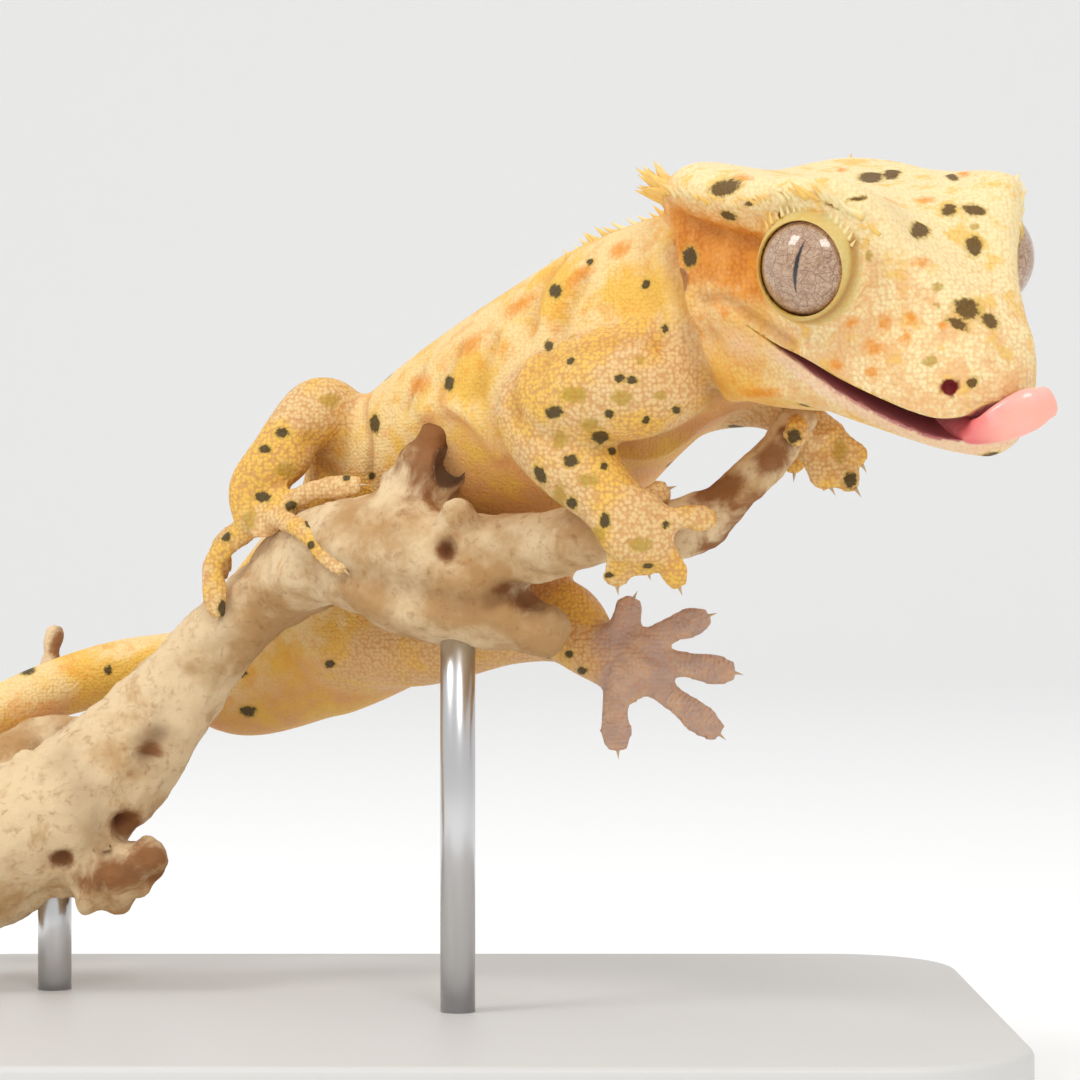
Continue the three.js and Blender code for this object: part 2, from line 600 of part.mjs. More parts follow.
// A rod from the base up to the perch, whose top is shaped to the wood
function rodSolid(x, y, top) {
  const bottom = BASE_SIZE[2] - ANIMAL_AT[2] + GAP;
  const rod = new THREE.CylinderGeometry(ROD_RADIUS, ROD_RADIUS, top - bottom, ROD_SIDES);
  rod.rotateX(Math.PI / 2).translate(x, y, (top + bottom) / 2);
  return largest(solid(rod).subtract(perchGrown));
}

const group = new THREE.Group();
const animal = new THREE.Group();
animal.position.set(...ANIMAL_AT);
group.add(animal);

function addNode(name, manifold, material, parent = animal) {
  const mesh = new THREE.Mesh(geometryOf(manifold), material);
  mesh.name = name;
  parent.add(mesh);
}

const { head, jaw } = headAndJaw();
addNode('head', head, MUZZLE);
addNode('jaw', jaw, MUZZLE);
addNode('tongue', largest(tongueSolid().subtract(jaw).subtract(head)), TONGUE_TONE);
[['eye_left', 1], ['eye_right', -1]].forEach(([name, sideSign]) => {
  const centre = fromHead([EYE_AT[0], sideSign * EYE_AT[1], EYE_AT[2]]);
  addNode(name, sphere(centre, EYE_RADIUS, 18, 11), EYE_TONE);
});

const headBack = fromHead([HEAD_X[0], 0, 0]);
const trunk = beyond(body.solid(BODY_RINGS), headBack, headAxis([-1, 0, 0])).subtract(perchGrown);
const TRUNK_NODES = ['neck', 'chest', 'belly', 'tail_base', 'tail_middle', 'tail_tip'];

// The spines of the two rows along the back whose places are between two cuts
function backSpines(from, to) {
  const places = Array.from({ length: BACK_SPINES }, (_, i) => i / (BACK_SPINES - 1));
  return [1, -1].flatMap((sideSign) => places.flatMap((u) => {
    const t = BACK_SPAN[0] + (BACK_SPAN[1] - BACK_SPAN[0]) * u;
    const angle = THREE.MathUtils.degToRad(90 + sideSign * (BACK_ANGLE + jitter(2)));
    const lean = jitter(0.15);
    const length = BACK_LENGTHS[0] + (BACK_LENGTHS[1] - BACK_LENGTHS[0]) * u;
    if (t < from || t > to) return [];
    const at = body.point(t, angle);
    const { along } = body.frame(t);
    const outward = body.point(t, angle, 1).sub(at).normalize();
    return [spine(at, outward.addScaledVector(along, 0.5 + lean), length * (1 + lean))];
  }));
}

const CUT_CLEAR = 0.008;
const nodeEnds = [0, ...BODY_CUTS, 1];
body.split(trunk, BODY_CUTS).forEach((piece, i) => {
  const spines = backSpines(nodeEnds[i] + CUT_CLEAR, nodeEnds[i + 1] - CUT_CLEAR);
  addNode(TRUNK_NODES[i], largest(join([piece, ...spines])), SKIN);
});

const ARM = ['upper_arm', 'forearm', 'hand'];
const LEG = ['thigh', 'shank', 'foot'];
const LIMBS = [
  ['right', ARM, rightArm, [0.46, 0.74], RIGHT_HAND_TOES, TOE_PAD],
  ['left', ARM, leftArm, [0.3, 0.72], LEFT_HAND_TOES, TOE_PAD],
  ['right', LEG, rightLeg, [0.37, 0.76], RIGHT_FOOT_TOES, TOE_PAD],
  ['left', LEG, leftLeg, [0.4, 0.74], LEFT_FOOT_TOES, LONG_TOE_PAD],
];
LIMBS.forEach(([sideName, names, sweep, cuts, toes, pad]) => {
  limbNodes(sweep, cuts, toes, pad).forEach((piece, i) => addNode(`${names[i]}_${sideName}`, piece, SKIN));
});

const stemBody = beyond(stemSolid(0), CUT_END, CUT_DIRECTION);
addNode('perch_stem', stemBody, WOOD_TONE);
addNode('perch_limb', largest(limb.solid(12).subtract(stemGrown)), WOOD_TONE);
addNode('perch_fork', largest(join([fork.solid(7), twig.solid(7)]).subtract(stemGrown)), WOOD_TONE);
addNode('stand_rod_front', rodSolid(-7.5, 26.5, -4), ROD_TONE);
addNode('stand_rod_back', rodSolid(-46.5, 42, -24), ROD_TONE);
addNode('stand_base', solid(roundedPlate(...BASE_SIZE, BASE_CORNER)), BASE_TONE, group);

export default group;
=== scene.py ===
"""Looks of a crested gecko on a driftwood perch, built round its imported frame."""

import logging
import math
from dataclasses import dataclass, field
from enum import Enum

import bpy
import numpy as np
from mathutils import Matrix, Vector, noise
from mathutils.bvhtree import BVHTree


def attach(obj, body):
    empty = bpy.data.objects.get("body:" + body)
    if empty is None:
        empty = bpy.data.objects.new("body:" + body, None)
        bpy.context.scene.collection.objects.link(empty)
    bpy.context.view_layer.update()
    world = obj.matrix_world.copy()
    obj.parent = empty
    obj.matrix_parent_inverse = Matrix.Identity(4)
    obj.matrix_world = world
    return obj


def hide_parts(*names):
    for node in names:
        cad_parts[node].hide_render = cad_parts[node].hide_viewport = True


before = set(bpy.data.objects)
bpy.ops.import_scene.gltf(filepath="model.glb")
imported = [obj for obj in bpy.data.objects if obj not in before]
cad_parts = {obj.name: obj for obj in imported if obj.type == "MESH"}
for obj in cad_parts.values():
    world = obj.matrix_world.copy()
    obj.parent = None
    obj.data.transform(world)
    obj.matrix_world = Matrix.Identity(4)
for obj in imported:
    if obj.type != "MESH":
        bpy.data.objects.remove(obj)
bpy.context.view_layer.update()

LOG = logging.getLogger("gecko")
MM = 0.001
ANIMAL_AT = np.array([12.0, -32.0, 51.0])
CAMERA_BACK = 280.0
CAMERA_AT = np.array([0.0, -CAMERA_BACK, 0.0])
PIXELS = 1080.0
PIXELS_PER_TURN = 3360.0
SENSOR = 36.0
HEAD_AT = np.array([29.9, 0.0, 22.3])
HEAD_TURN, HEAD_NOD, HEAD_TILT = 54.0, -16.0, 5.2
EYE_RADIUS = 4.6
EYE_AT = (0.0, 8.9, 0.9)
EYE_TURN = {-1: 22.0, 1: 37.0}
EAR_AT = (-14.5, 12.1, -3.4)
EAR_RADIUS = 1.2
LID_RADIUS = 4.15
LID_OPENING = 3.72
LID_SKIN = 0.4
LID_THICK, LID_UNEVEN = 0.39, 0.15
SOCKET_GAP = 0.04
NOSTRIL_AT = (12.9, 4.75, -6.4)
NOSTRIL_RADIUS = 0.66
FACING = (0.0, -1.0, 0.2)
FAR = 9.0

Array = np.ndarray
Point = tuple[float, float, float]
Pixel = tuple[float, float]


class Slot(Enum):
    """The record's material slots."""

    SKIN = "skin"
    TONGUE = "tongue"
    EYE = "eye"
    WOOD = "driftwood"
    BASE = "stand_base"
    ROD = "stand_rod"


def table(xs: Array, ys: Array, x: Array) -> Array:
    """Reads a smooth curve through a table.

    Args:
        xs: The table's places, rising.
        ys: Its values, one row for each place.
        x: The places to read.

    Returns:
        The values at x.
    """
    x = np.clip(np.asarray(x, float), xs[0], xs[-1])
    i = np.clip(np.searchsorted(xs, x, side="right") - 1, 0, len(xs) - 2)
    before = ys[np.maximum(i - 1, 0)]
    after = ys[np.minimum(i + 2, len(xs) - 1)]
    u = (x - xs[i]) / (xs[i + 1] - xs[i])
    a = (ys[i + 1] - before) / 2
    b = (after - ys[i]) / 2
    d = ys[i + 1] - ys[i]
    return ys[i] + u * (a + u * (3 * d - 2 * a - b + u * (a + b - 2 * d)))


def smooth_path(points: Array, t: Array, closed: bool = False) -> Array:
    """Follows a centripetal Catmull-Rom curve.

    Args:
        points: The curve's points.
        t: Places from 0 to 1, equal steps from point to point.
        closed: Whether the curve joins its own start.

    Returns:
        The points at t.
    """
    n = len(points)
    if closed:
        padded = np.vstack([points[-1:], points, points[:2]])
        spans = n
    else:
        padded = np.vstack([2 * points[0] - points[1], points, 2 * points[-1] - points[-2]])
        spans = n - 1
    s = np.clip(np.asarray(t, float), 0, 1) * spans
    i = np.minimum(s.astype(int), spans - 1)
    u = (s - i)[:, None]
    p0, p1, p2, p3 = (padded[i + k] for k in range(4))
    steps = [np.maximum(np.linalg.norm(b - a, axis=1) ** 0.5, 1e-4)[:, None]
             for a, b in ((p0, p1), (p1, p2), (p2, p3))]
    d0, d1, d2 = steps
    t1 = ((p1 - p0) / d0 - (p2 - p0) / (d0 + d1) + (p2 - p1) / d1) * d1
    t2 = ((p2 - p1) / d1 - (p3 - p1) / (d1 + d2) + (p3 - p2) / d2) * d1
    return p1 + u * (t1 + u * (3 * (p2 - p1) - 2 * t1 - t2 + u * (2 * (p1 - p2) + t1 + t2)))


def ease(low: float, high: float, x: Array) -> Array:
    """Rises smoothly from 0 at low to 1 at high."""
    u = np.clip((x - low) / (high - low), 0, 1)
    return u * u * (3 - 2 * u)


def bell(x: Array, middle: float, width: float) -> Array:
    """A smooth bump of height 1 at middle."""
    return np.exp(-(((x - middle) / width) ** 2))


def unit(v: Array) -> Array:
    """Scales vectors to length 1."""
    v = np.asarray(v, float)
    return v / np.maximum(np.linalg.norm(v, axis=-1, keepdims=True), 1e-9)


def turn_about(v: Array, axis: Array, angle: Array) -> Array:
    """Turns each vector about its axis by its angle in radians."""
    c, s = np.cos(angle)[:, None], np.sin(angle)[:, None]
    dot = np.sum(v * axis, axis=1, keepdims=True)
    return v * c + np.cross(axis, v) * s + axis * dot * (1 - c)


def placed(name: str, data: bpy.types.ID) -> bpy.types.Object:
    """Adds an object to the scene."""
    thing = bpy.data.objects.new(name, data)
    bpy.context.scene.collection.objects.link(thing)
    return thing


@dataclass
class Shell:
    """Points and faces of a mesh, in millimetres of the animal's own frame."""

    points: Array
    faces: list[tuple[int, ...]]

    @staticmethod
    def from_rings(rings: Array, start: Array, end: Array) -> "Shell":
        """Closes rings of points with a fan at each end.

        Args:
            rings: Points as rings, points, three numbers.
            start: The point that closes the first ring.
            end: The point that closes the last ring.

        Returns:
            The closed shell.
        """
        count, n = rings.shape[:2]
        points = np.vstack([rings.reshape(-1, 3), start, end])
        faces = []
        for j in range(n):
            k = (j + 1) % n
            faces += [(i * n + j, (i + 1) * n + j, (i + 1) * n + k, i * n + k)
                      for i in range(count - 1)]
            top = (count - 1) * n
            faces += [(count * n, j, k), (count * n + 1, top + k, top + j)]
        return Shell(points, faces)

    def mesh(self, name: str) -> bpy.types.Object:
        """Makes the shell an object in the scene's collection."""
        data = bpy.data.meshes.new(name)
        data.from_pydata(((self.points + ANIMAL_AT) * MM).tolist(), [], self.faces)
        data.update()
        return placed(name, data)


def joined(shells: list[Shell]) -> Shell:
    """Puts several shells into one."""
    points, faces, at = [], [], 0
    for shell in shells:
        points.append(shell.points)
        faces += [tuple(i + at for i in face) for face in shell.faces]
        at += len(shell.points)
    return Shell(np.vstack(points), faces)


class Sweep:
    """A body swept along a smooth path.

    Each station holds its place, half width, height above and below the path and roll in degrees.
    """

    def __init__(self, stations: list[tuple[float, ...]], reference: Point = (0, 0, 1),
                 square: float = 2.2, rough: float = 0.0) -> None:
        """Keeps the stations and the way the section faces."""
        self.stations = np.array(stations, float)
        self.reference = np.array(reference, float)
        self.square = square
        self.rough = rough
        self.knots = np.linspace(0, 1, len(stations))

    def at(self, t: Array) -> Array:
        """The path's points at t."""
        return smooth_path(self.stations[:, :3], t)

    def value(self, column: int, t: Array) -> Array:
        """A station's number, read along the path."""
        return table(self.knots, self.stations[:, column], t)

    def axes(self, t: Array) -> tuple[Array, Array, Array]:
        """The directions along, across and up the section at t."""
        step = 1e-3
        along = unit(self.at(np.minimum(t + step, 1)) - self.at(np.maximum(t - step, 0)))
        level = unit(self.reference - along * (along @ self.reference)[:, None])
        up = turn_about(level, along, np.radians(self.value(6, t)))
        return along, np.cross(along, up), up

    def surface(self, t: Array, angle: Array, grow: float = 0.0) -> Array:
        """Points on the swept surface.

        Args:
            t: Places along the path.
            angle: Angles round it, 0 at the side and a quarter turn at the top.
            grow: How far outside the surface.

        Returns:
            One point for each place and angle.
        """
        along, side, up = self.axes(t)
        c, s = np.cos(angle), np.sin(angle)
        c = np.sign(c) * np.abs(c) ** (2 / self.square)
        s = np.sign(s) * np.abs(s) ** (2 / self.square)
        height = np.where(s > 0, self.value(4, t), self.value(5, t))
        bump = 1 + self.rough * (np.sin(3 * angle + 17 * t) + np.sin(2 * angle - 29 * t))
        across = c * (self.value(3, t) * bump + grow)
        return self.at(t) + side * across[:, None] + up * (s * (height * bump + grow))[:, None]

    def shell(self, rings: int, sides: int) -> Shell:
        """The whole closed body, with round ends."""
        cap = np.linspace(0.15, 1.0, 6)[:-1]
        ts = np.concatenate([np.zeros(len(cap)), np.linspace(0, 1, rings), np.ones(len(cap))])
        squeeze = np.concatenate([np.sin(cap * math.pi / 2), np.ones(rings),
                                  np.sin(cap[::-1] * math.pi / 2)])
        reach = np.concatenate([-np.cos(cap * math.pi / 2), np.zeros(rings),
                                np.cos(cap[::-1] * math.pi / 2)])
        ends = np.minimum(self.value(3, ts), self.value(4, ts))
        angles = np.arange(sides) * 2 * math.pi / sides
        tt = np.repeat(ts, sides)
        points = self.surface(tt, np.tile(angles, len(ts)))
        middle = np.repeat(self.at(ts), sides, axis=0)
        along = np.repeat(self.axes(ts)[0], sides, axis=0)
        points = middle + (points - middle) * np.repeat(squeeze, sides)[:, None]
        points = points + along * np.repeat(reach * ends, sides)[:, None]
        tips = self.at(np.array([0.0, 1.0]))
        ways = self.axes(np.array([0.0, 1.0]))[0]
        start = tips[0] - ways[0] * ends[0]
        end = tips[1] + ways[1] * ends[-1]
        return Shell.from_rings(points.reshape(len(ts), sides, 3), start, end)


def rod(x: float, y: float, z: float, r: float) -> tuple[float, ...]:
    """A round station."""
    return (x, y, z, r, r, r, 0.0)


def strap(x: float, y: float, z: float, wide: float, thick: float) -> tuple[float, ...]:
    """A flat station."""
    return (x, y, z, wide, thick, thick, 0.0)


def head_axes() -> Array:
    """The head's forward, left and up directions as columns."""
    turn, nod, tilt = (math.radians(v) for v in (-HEAD_TURN, -HEAD_NOD, HEAD_TILT))
    spin = (Matrix.Rotation(turn, 3, "Z") @ Matrix.Rotation(nod, 3, "Y")
            @ Matrix.Rotation(tilt, 3, "X"))
    return np.array(spin)


HEAD_AXES = head_axes()


def from_head(points: Array) -> Array:
    """Takes points of the head's frame to the animal's frame."""
    return np.asarray(points, float) @ HEAD_AXES.T + HEAD_AT


def to_head(points: Array) -> Array:
    """Takes points of the animal's frame to the head's frame."""
    return (np.asarray(points, float) - HEAD_AT) @ HEAD_AXES


def seen_at(points: Array) -> Array:
    """Where the camera sees points, in pixels of the photograph."""
    scale = PIXELS_PER_TURN / (CAMERA_BACK + points[:, 1])
    return np.stack([PIXELS / 2 + points[:, 0] * scale, PIXELS / 2 - points[:, 2] * scale], axis=1)


def pixel_ray(x: float, y: float) -> Point:
    """The way from the camera to a pixel, not of length 1."""
    return (x - PIXELS / 2) / PIXELS_PER_TURN, 1.0, (PIXELS / 2 - y) / PIXELS_PER_TURN


def on_side(place: Point, side: int) -> Array:
    """A place of the head on one of its sides. Side is 1 for the left."""
    return np.array(place) * (1, side, 1)


@dataclass
class Head:
    """The head's form, in its own frame: x to the snout, y to the animal's left, z up."""

    x: tuple[float, ...] = (-20.5, -18, -14, -9, -5, -1, 3, 7, 11, 14, 15.6)
    top: tuple[float, ...] = (4.4, 5.2, 5.7, 5.9, 6.0, 6.1, 5.5, 3.0, 0.4, -2.2, -4.6)
    crest_y: tuple[float, ...] = (7.6, 9.4, 10.9, 10.8, 10.9, 10.5, 8.8, 5.6, 3.6, 2.6, 1.2)
    crest_z: tuple[float, ...] = (4.8, 6.0, 6.4, 6.6, 7.2, 8.1, 8.1, 4.2, 0.2, -2.4, -4.8)
    brim_y: tuple[float, ...] = (9.6, 12.0, 13.2, 12.7, 12.4, 11.8, 9.9, 6.3, 4.4, 3.3, 1.7)
    brim_z: tuple[float, ...] = (2.0, 3.8, 4.4, 4.6, 5.4, 6.8, 6.7, 2.7, -1.4, -3.6, -5.4)
    temple_y: tuple[float, ...] = (9.6, 10.5, 11.2, 10.8, 10.4, 9.8, 7.8, 6.0, 4.6, 3.6, 1.9)
    temple_z: tuple[float, ...] = (-1.0, 1.0, 1.6, 2.0, 2.6, 3.6, 1.6, -0.8, -3.4, -5.0, -6.2)
    cheek_y: tuple[float, ...] = (9.6, 10.6, 11.4, 11.4, 10.6, 9.8, 8.6, 7.2, 5.6, 3.8, 1.9)
    cheek_z: tuple[float, ...] = (-6.0, -5.0, -4.2, -3.6, -3.2, -2.8, -3.4, -4.6, -6.0, -6.8, -7.0)
    lip_y: tuple[float, ...] = (8.6, 9.6, 10.6, 10.9, 10.2, 9.4, 8.5, 7.2, 5.5, 3.4, 1.6)
    lip_z: tuple[float, ...] = (-9.6, -9.2, -8.0, -6.6, -6.2, -6.9, -7.9, -9.0, -9.9, -9.6, -8.4)
    jaw_y: tuple[float, ...] = (6.6, 7.4, 8.4, 9.0, 8.6, 7.9, 7.1, 5.9, 4.4, 2.5, 1.1)
    jaw_z: tuple[float, ...] = (-12.0, -12.2, -12.2, -11.6, -10.8, -10.6, -10.9, -11.2, -11.5,
                                -11.2, -10.0)
    throat: tuple[float, ...] = (-13.2, -14.0, -14.4, -14.0, -13.2, -12.5, -12.3, -12.5, -12.6,
                                 -12.2, -10.8)
    snout_tip: Point = (16.3, 0.0, -7.4)
    rings: int = 110
    sides: int = 140
    mouth_half_width: float = 13.5
    mouth_rings: int = 46
    lip_points: int = 150
    upper_lip: tuple[Pixel, ...] = (
        (-6, -5.3), (-3, -6.2), (0.7, -6.9), (3.8, -7.7), (6.7, -8.3), (10.6, -9.0),
        (12.3, -9.1), (13.8, -8.6), (15.0, -7.4), (18.0, -6.2))
    lower_lip: tuple[Pixel, ...] = (
        (18.0, -8.8), (15.8, -9.4), (13.8, -10.6), (11.9, -10.8), (9.6, -10.4),
        (5.8, -9.5), (2.1, -8.4), (-1.2, -7.2), (-3.0, -6.5))

    def read(self, values: tuple[float, ...], x: Array) -> Array:
        """One of the tables, read at places x."""
        return table(np.array(self.x, float), np.array(values, float), x)

    def brim(self, x: float) -> tuple[float, float]:
        """The brim's half width and height at x."""
        return self.read(self.brim_y, np.array([x]))[0], self.read(self.brim_z, np.array([x]))[0]

    def outline(self, x: Array) -> Array:
        """Section outlines at places x, as places, points, three numbers."""
        pairs = [(self.crest_y, self.crest_z), (self.brim_y, self.brim_z),
                 (self.temple_y, self.temple_z),
                 (self.cheek_y, self.cheek_z), (self.lip_y, self.lip_z), (self.jaw_y, self.jaw_z)]
        left = [(self.read(y, x), self.read(z, x)) for y, z in pairs]
        none = np.zeros_like(x)
        top, bottom = (none, self.read(self.top, x)), (none, self.read(self.throat, x))
        right = [(-y, z) for y, z in reversed(left)]
        loop = [top, *left, bottom, *right]
        return np.stack([np.stack([x, y, z], axis=1) for y, z in loop], axis=1)

    def shell(self) -> Shell:
        """The closed head, without sockets or mouth."""
        x = np.linspace(self.x[0], self.x[-1], self.rings)
        t = np.arange(self.sides) / self.sides
        rings = np.stack([smooth_path(ring, t, closed=True) for ring in self.outline(x)])
        behind = np.array([self.x[0], 0.0, -4.0])
        made = Shell.from_rings(rings, behind, np.array(self.snout_tip))
        return Shell(from_head(made.points), made.faces)

    def mouth(self) -> Shell:
        """The wedge that the open mouth takes out of the head."""
        outline = self.lips()
        across = np.linspace(-self.mouth_half_width, self.mouth_half_width, self.mouth_rings)
        rings = np.stack([np.column_stack([outline[:, 0], np.full(len(outline), y), outline[:, 1]])
                          for y in across])
        made = Shell.from_rings(rings[::-1], rings[-1].mean(axis=0), rings[0].mean(axis=0))
        return Shell(from_head(made.points), made.faces)

    def lips(self) -> Array:
        """The open mouth's outline seen from the side, x and z, closely spaced."""
        corners = np.array(self.upper_lip + self.lower_lip, float)
        flat = np.column_stack([corners[:, 0], np.zeros(len(corners)), corners[:, 1]])
        t = np.arange(self.lip_points) / self.lip_points
        return smooth_path(flat, t, closed=True)[:, [0, 2]]


def ball(centre: Array, radius: float, across: int, down: int) -> Shell:
    """A sphere of quads, closed at its poles."""
    theta = np.arange(across) * 2 * math.pi / across
    phi = np.linspace(0, math.pi, down + 1)[1:-1]
    rings = np.stack([np.stack([np.sin(p) * np.cos(theta), np.sin(p) * np.sin(theta),
                                np.full(across, -np.cos(p))], axis=1) for p in phi])
    low, high = np.array([0, 0, -1.0]), np.array([0, 0, 1.0])
    made = Shell.from_rings(rings[:, ::-1], low, high)
    return Shell(made.points * radius + centre, made.faces)


def eye_axis(side: int) -> Array:
    """The way an eye looks, in the animal's frame. Side is 1 for the left."""
    turn = math.radians(EYE_TURN[side])
    return unit(HEAD_AXES @ np.array([math.sin(turn), side * math.cos(turn), 0.05]))


def eye_centre(side: int) -> Array:
    """An eye's centre in the animal's frame."""
    return from_head(on_side(EYE_AT, side))


def across_and_up(axis: Array) -> tuple[Array, Array]:
    """The directions across and up an eye that looks along an axis."""
    up = unit(HEAD_AXES[:, 2] - axis * (axis @ HEAD_AXES[:, 2]))
    return np.cross(axis, up), up


def eye_normal(pixel: Pixel) -> Array:
    """The right eyeball's outward direction where the camera sees it at a pixel."""
    start = CAMERA_AT - eye_centre(-1)
    way = unit(np.array(pixel_ray(*pixel)))
    b = way @ start
    return unit(start + way * (-b - math.sqrt(b * b - start @ start + EYE_RADIUS ** 2)))


def lid(side: int) -> Shell:
    """The rim of skin round an eye."""
    across, round_tube = 64, 14
    axis = eye_axis(side)
    over, up = across_and_up(axis)
    rise = math.sqrt(EYE_RADIUS ** 2 - LID_RADIUS ** 2)
    theta = np.arange(across) * 2 * math.pi / across
    phi = np.arange(round_tube) * 2 * math.pi / round_tube
    thick = LID_THICK + LID_UNEVEN * np.cos(theta + math.pi * 0.7 * -side)
    points = []
    for a, thick_here in zip(theta, thick):
        way = over * math.cos(a) + up * math.sin(a)
        for b in phi:
            points.append(eye_centre(side) + axis * (rise + thick_here * math.sin(b))
                          + way * (LID_RADIUS + thick_here * math.cos(b)))
    faces = []
    for i in range(across):
        for j in range(round_tube):
            k, m = (i + 1) % across, (j + 1) % round_tube
            faces.append((i * round_tube + j, k * round_tube + j, k * round_tube + m,
                          i * round_tube + m))
    return Shell(np.array(points), faces)


def eye_opening(side: int) -> Shell:
    """The hole between the lids, from the eye's middle outwards."""
    across = 72
    axis = eye_axis(side)
    over, up = across_and_up(axis)
    theta = -np.arange(across) * 2 * math.pi / across
    circle = np.outer(np.cos(theta), over) + np.outer(np.sin(theta), up)
    ends = (0.0, EYE_RADIUS + 3.0)
    rings = np.stack([eye_centre(side) + axis * reach + circle * (LID_OPENING + 0.06 * reach)
                      for reach in ends])
    return Shell.from_rings(rings[:, ::-1], eye_centre(side), eye_centre(side) + axis * ends[1])


TRUNK = Sweep([
    (22.0, 11.3, 25.0, 9.4, 5.5, 10.0, 0),
    (17.9, 13.5, 22.9, 9.0, 6.8, 9.6, 0),
    (13.2, 16.5, 20.9, 9.0, 8.0, 9.6, 4),
    (8.1, 21.0, 17.5, 10.0, 9.3, 9.8, 15),
    (0.0, 31.0, 11.1, 11.8, 9.0, 9.0, 40),
    (-8.1, 42.0, 3.8, 13.0, 8.5, 8.2, 58),
    (-16.3, 51.0, -3.7, 11.4, 7.8, 7.8, 68),
    (-24.0, 56.5, -9.5, 9.3, 6.8, 7.0, 75),
    (-30.3, 59.5, -13.6, 6.3, 5.2, 5.4, 75),
    (-36.4, 60.5, -13.2, 4.0, 3.8, 3.8, 70),
    (-42.5, 60.5, -13.4, 3.2, 3.1, 3.1, 60),
    (-48.4, 59.5, -14.9, 2.9, 2.8, 2.8, 50),
    (-54.2, 58.0, -17.3, 2.8, 2.6, 2.6, 40),
    (-63.0, 57.0, -21.5, 2.6, 2.4, 2.4, 30),
    (-71.0, 58.0, -26.0, 2.4, 2.2, 2.2, 20),
    (-77.5, 61.5, -28.6, 2.2, 2.0, 2.0, 10),
    (-81.0, 67.0, -29.6, 2.0, 1.8, 1.8, 0),
    (-81.0, 73.0, -29.2, 1.8, 1.6, 1.6, 0),
    (-77.0, 77.0, -28.2, 1.6, 1.3, 1.3, 0),
    (-72.0, 77.5, -27.2, 1.5, 1.1, 1.1, 0),
    (-69.0, 74.5, -26.4, 1.6, 0.9, 0.9, 0),
    (-69.0, 71.0, -26.0, 1.3, 0.7, 0.7, 0),
], square=2.3)

RIGHT_ARM = Sweep([
    rod(13.0, 13.5, 16.6, 5.0), rod(8.6, 10.2, 13.8, 5.0), rod(3.5, 11.0, 12.9, 4.6),
    rod(0.2, 14.5, 11.2, 4.2), rod(3.0, 12.5, 7.0, 3.9), rod(6.0, 10.4, 3.4, 2.8),
    strap(8.2, 9.2, 1.2, 3.4, 1.7), strap(10.2, 9.4, 0.2, 2.8, 1.2),
], FACING)
LEFT_ARM = Sweep([
    rod(13.0, 25, 16.2, 4.2), rod(13.6, 25.5, 13.0, 3.2), rod(16.4, 23, 12.6, 2.7),
    rod(19.4, 19.8, 12.2, 2.2), rod(21.8, 17.6, 11.0, 1.9),
    strap(23.8, 16.6, 9.6, 2.8, 1.2), strap(25.6, 16.2, 8.6, 2.2, 1.0),
], FACING)
RIGHT_LEG = Sweep([
    rod(-20.6, 49, -2.0, 5.4), rod(-19.6, 45.5, 5.0, 3.5), rod(-19.3, 42, 11.8, 3.0),
    rod(-21.2, 40, 12.4, 3.0), rod(-24.6, 38.8, 8.0, 2.9), rod(-27.4, 38.6, 5.0, 2.1),
    strap(-26.6, 37.9, 2.8, 2.6, 1.5), strap(-24.8, 36.6, 2.6, 2.3, 1.1),
], FACING)
LEFT_LEG = Sweep([
    rod(-19.8, 51, -9.4, 5.2), rod(-11.0, 44, -9.4, 4.6), rod(-3.0, 39, -7.4, 4.4),
    rod(2.0, 34.5, -7.6, 3.9), rod(5.2, 30.6, -10.2, 2.8),
    strap(7.6, 28.4, -10.8, 3.4, 1.5), strap(9.2, 27.8, -11.2, 2.6, 1.2),
], FACING)

ToePath = tuple[Point, Point, Point]
RIGHT_HAND_TOES: list[ToePath] = [
    ((8.4, 10.0, 2.6), (10.0, 11.4, 4.0), (11.0, 12.0, 4.4)),
    ((9.6, 9.0, 1.6), (12.4, 9.2, 2.0), (15.0, 9.4, 1.8)),
    ((10.0, 9.2, 0.4), (11.3, 9.6, -1.8), (12.0, 10.6, -3.9)),
    ((8.8, 9.2, 0.0), (9.2, 10.2, -1.9), (9.4, 11.2, -2.8)),
    ((7.0, 9.6, 0.4), (6.6, 10.4, -2.2), (6.7, 11.4, -3.9)),
]
LEFT_HAND_TOES: list[ToePath] = [
    ((23.2, 15.8, 10.0), (22.4, 12.6, 10.0), (22.2, 12.4, 8.4)),
    ((24.2, 16.2, 8.8), (24.2, 15.6, 6.6), (25.4, 15.2, 4.8)),
    ((25.4, 16.0, 8.4), (26.4, 15.4, 6.2), (27.6, 15.0, 4.6)),
    ((26.0, 16.0, 8.8), (27.4, 15.8, 8.0), (28.2, 15.6, 6.8)),
    ((23.0, 17.6, 9.4), (22.6, 18.6, 8.0), (22.6, 18.6, 6.2)),
]
RIGHT_FOOT_TOES: list[ToePath] = [
    ((-25.4, 37.0, 2.9), (-20.6, 35.0, 4.8), (-16.8, 32.6, 5.1)),
    ((-25.2, 35.8, 2.4), (-21.5, 30.9, 0.6), (-17.9, 26.9, -2.7)),
    ((-27.0, 37.6, 1.8), (-31.0, 39.0, -2.2), (-30.6, 38.2, -7.2)),
    ((-25.6, 38.2, 2.6), (-23.0, 41.0, 3.2), (-20.6, 43.2, 2.6)),
    ((-27.2, 38.8, 1.8), (-30.6, 43.4, -0.4), (-31.2, 46.6, -3.6)),
]
